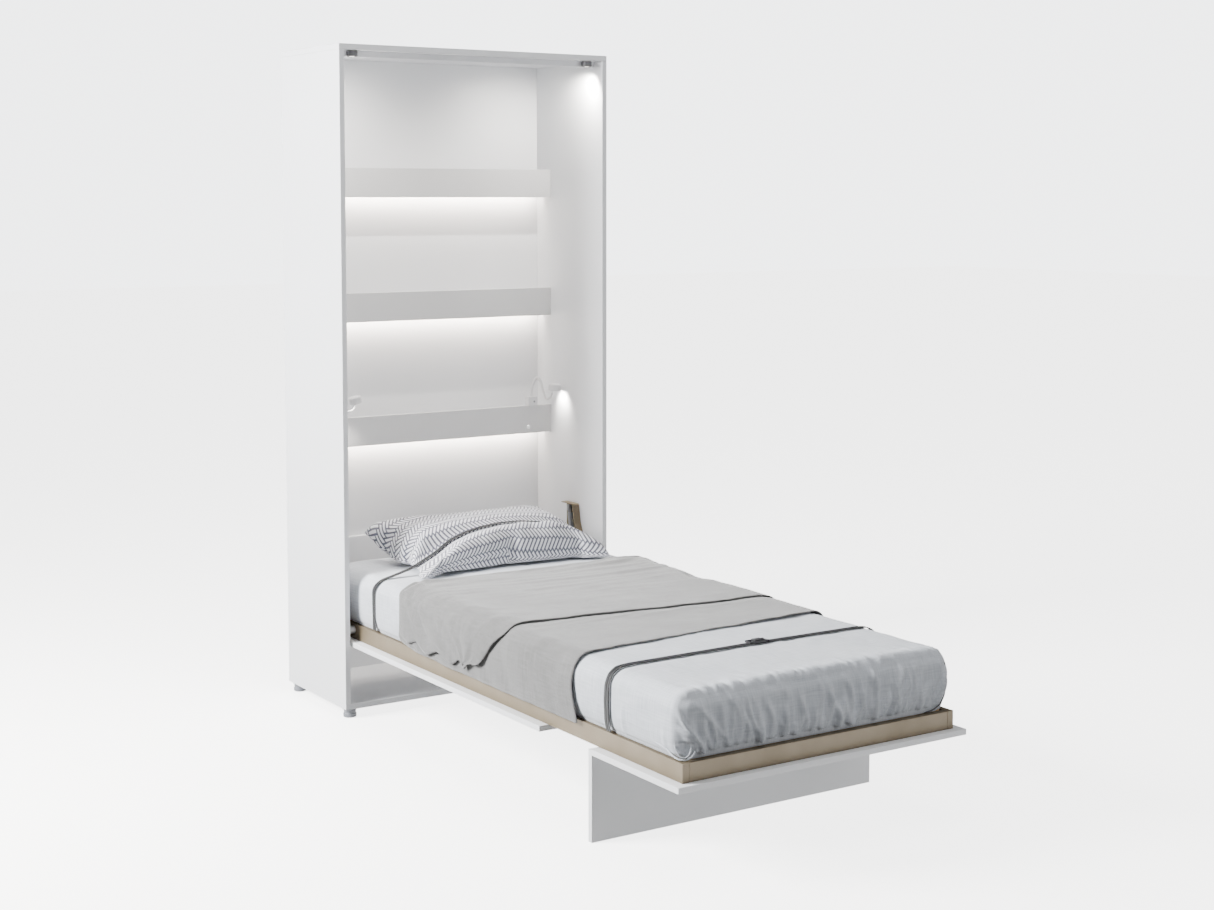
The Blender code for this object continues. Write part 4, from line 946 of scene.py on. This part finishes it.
def turned_piece(name, profile, place, axis, finish, sides=28):
    """A turned detail: (distance, radius) pairs along an axis from a place."""
    along = Vector(axis)
    across = along.orthogonal().normalized()
    other = along.cross(across)
    points, faces, rings = [], [], []
    for distance, radius in profile:
        ring = []
        for i in range(sides if radius else 1):
            t = 2 * math.pi * i / sides
            points.append(Vector(place) + along * distance
                          + (across * math.cos(t) + other * math.sin(t)) * radius)
            ring.append(len(points) - 1)
        rings.append(ring)
    for first, second in zip(rings, rings[1:]):
        for i in range(sides):
            j = (i + 1) % sides
            quad = [first[i % len(first)], first[j % len(first)],
                    second[j % len(second)], second[i % len(second)]]
            quad = list(dict.fromkeys(quad))
            if len(quad) > 2:
                faces.append(tuple(quad))
    piece = add_mesh(name, points, faces, finish)
    face_outwards(piece, 35)
    return piece


SCREW_HEAD = ((0, 0), (0, 0.0042), (0.0006, 0.0046), (0.0016, 0.0036), (0.0019, 0.0021), (0.0010, 0.0018),
              (0.0008, 0))


PLATE_FACE = 0.0045  # from the side panel's inner face to where the screws sit
# The screws on each hinge plate: distance behind the cabinet's front, and height
PLATE_SCREWS = ((0.168, 0.585), (0.205, 0.535), (0.150, 0.455), (0.205, 0.440),
                (0.110, 0.375), (0.195, 0.330), (0.110, 0.270))


def make_fittings():
    """Screws on the hinge plates and lenses in the spotlights."""
    for side, sign in (("left", -1), ("right", 1)):
        face = sign * (INSIDE_X - PLATE_FACE)
        for n, (y, z) in enumerate(PLATE_SCREWS):
            piece = turned_piece("plate_screw_" + side + "_" + str(n + 1), SCREW_HEAD,
                                 (face, CAB_FRONT + y, z), (-sign, 0, 0), SCREW, 20)
            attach(piece, "cabinet")
        low, high = corners("spotlight_" + side)
        middle = (low + high) / 2
        lens = turned_piece("spot_lens_" + side, ((0.0019, 0), (0.0005, 0.006), (0.0019, 0.0118)),
                            (middle[0], middle[1], low[2]), (0, 0, 1), LENS)
        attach(lens, "cabinet")


# ---------------------------------------------------------------- light, floor and camera


LED_POWER = 3.6  # watts, each strip
SPOT_POWER = 30.0
READING_POWER = 3.0
FLOOR_GLOW = 4.0
WORLD_LIGHT = 0.17  # how strongly the surroundings light the bed
WORLD_SHOWN = 4.4  # how bright they look to the camera


def area_light(name, place, target, size, power, colour=(1, 1, 1)):
    data = bpy.data.lights.new(name, "AREA")
    data.shape = "RECTANGLE"
    data.size, data.size_y = size
    data.energy = power
    data.color = colour
    lamp = add_object(name, data)
    lamp.location = place
    lamp.rotation_mode = "QUATERNION"
    lamp.rotation_quaternion = (Vector(target) - Vector(place)).to_track_quat("-Z", "Y")


def make_lights():
    area_light("key", (-3.6, 0.9, 2.5), (-0.3, 0.1, 0.9), (1.6, 1.6), 640)
    area_light("top", (0.2, -1.4, 4.6), (0, -0.3, 0.4), (3.0, 3.0), 85)
    area_light("fill", (1.6, -5.4, 2.0), (0, -1.6, 0.4), (2.6, 2.6), 70)
    warm = (1.0, 0.90, 0.80)
    for number in (1, 2, 3):
        low, high = corners("led_strip_" + str(number))
        place = (0, high[1] + 0.020, low[2] - 0.002)
        area_light("led_" + str(number), place, (0, place[1] + 0.10, place[2] - 0.045),
                   (high[0] - low[0], 0.012), LED_POWER, warm)
    for side in ("left", "right"):
        low, high = corners("spotlight_" + side)
        middle = (low + high) / 2
        inward = -0.10 if side == "right" else 0.10
        round_light("spot_" + side, (middle[0], middle[1], low[2] - 0.004), (inward, 0.55, -1),
                    SPOT_POWER, 130)
        low, high = corners("lamp_head_" + side)
        middle = (low + high) / 2
        outward = 1.0 if side == "right" else -0.2
        round_light("reading_" + side, (middle[0], middle[1] - 0.004, low[2] - 0.004),
                    (outward, 0, -0.9), READING_POWER, 105)


def round_light(name, place, towards, power, cone):
    """A small lamp with a soft-edged cone."""
    data = bpy.data.lights.new(name, "SPOT")
    data.energy = power
    data.spot_size = math.radians(cone)
    data.spot_blend = 0.8
    data.shadow_soft_size = 0.012
    data.color = (1.0, 0.95, 0.88)
    lamp = add_object(name, data)
    lamp.location = place
    lamp.rotation_euler = Vector(towards).to_track_quat("-Z", "Y").to_euler()


def make_stage():
    """A glowing floor, and a world that shows brighter than it lights."""
    pale = glow_finish("floor", (1.0, 1.0, 1.0), FLOOR_GLOW, 0.8)
    reach, level = 30, -0.0005
    spots = [(-reach, -reach, level), (reach, -reach, level), (reach, reach, level), (-reach, reach, level)]
    floor = add_mesh("floor", spots, [(0, 1, 2, 3)], pale, smooth=False)
    floor.visible_diffuse = False
    world = bpy.data.worlds.new("studio")
    world.use_nodes = True
    tree = world.node_tree
    ground = tree.nodes["Background"]
    ground.inputs["Color"].default_value = (0.97, 0.985, 1.0, 1)
    path = tree.nodes.new("ShaderNodeLightPath")
    strength = tree.nodes.new("ShaderNodeMapRange")
    strength.inputs["To Min"].default_value = WORLD_LIGHT
    strength.inputs["To Max"].default_value = WORLD_SHOWN
    tree.links.new(path.outputs["Is Camera Ray"], strength.inputs["Value"])
    tree.links.new(strength.outputs[0], ground.inputs["Strength"])
    bpy.context.scene.world = world


SENSOR = 36.0
FOCAL_PIXELS = 1902.32  # solved on the photograph, which is PHOTO_WIDTH pixels wide
PHOTO_WIDTH = 1214
PITCH_DOWN = 4.4443
HEADING = -33.148


def make_camera():
    data = bpy.data.cameras.new("camera")
    data.sensor_width = SENSOR
    data.lens = SENSOR * FOCAL_PIXELS / PHOTO_WIDTH
    data.shift_y = -0.09
    data.clip_end = 100
    camera = add_object("camera", data)
    camera.location = (-3.1107, CAB_FRONT - 5.5385, 1.6882)
    camera.rotation_mode = "XYZ"
    camera.rotation_euler = (math.radians(90 - PITCH_DOWN), 0, math.radians(HEADING))
    bpy.context.scene.camera = camera


make_mattress()
make_piping()
make_pillow()
blanket = make_blanket()
make_straps()
make_buckle()
make_fittings()
make_lights()
make_stage()
make_camera()
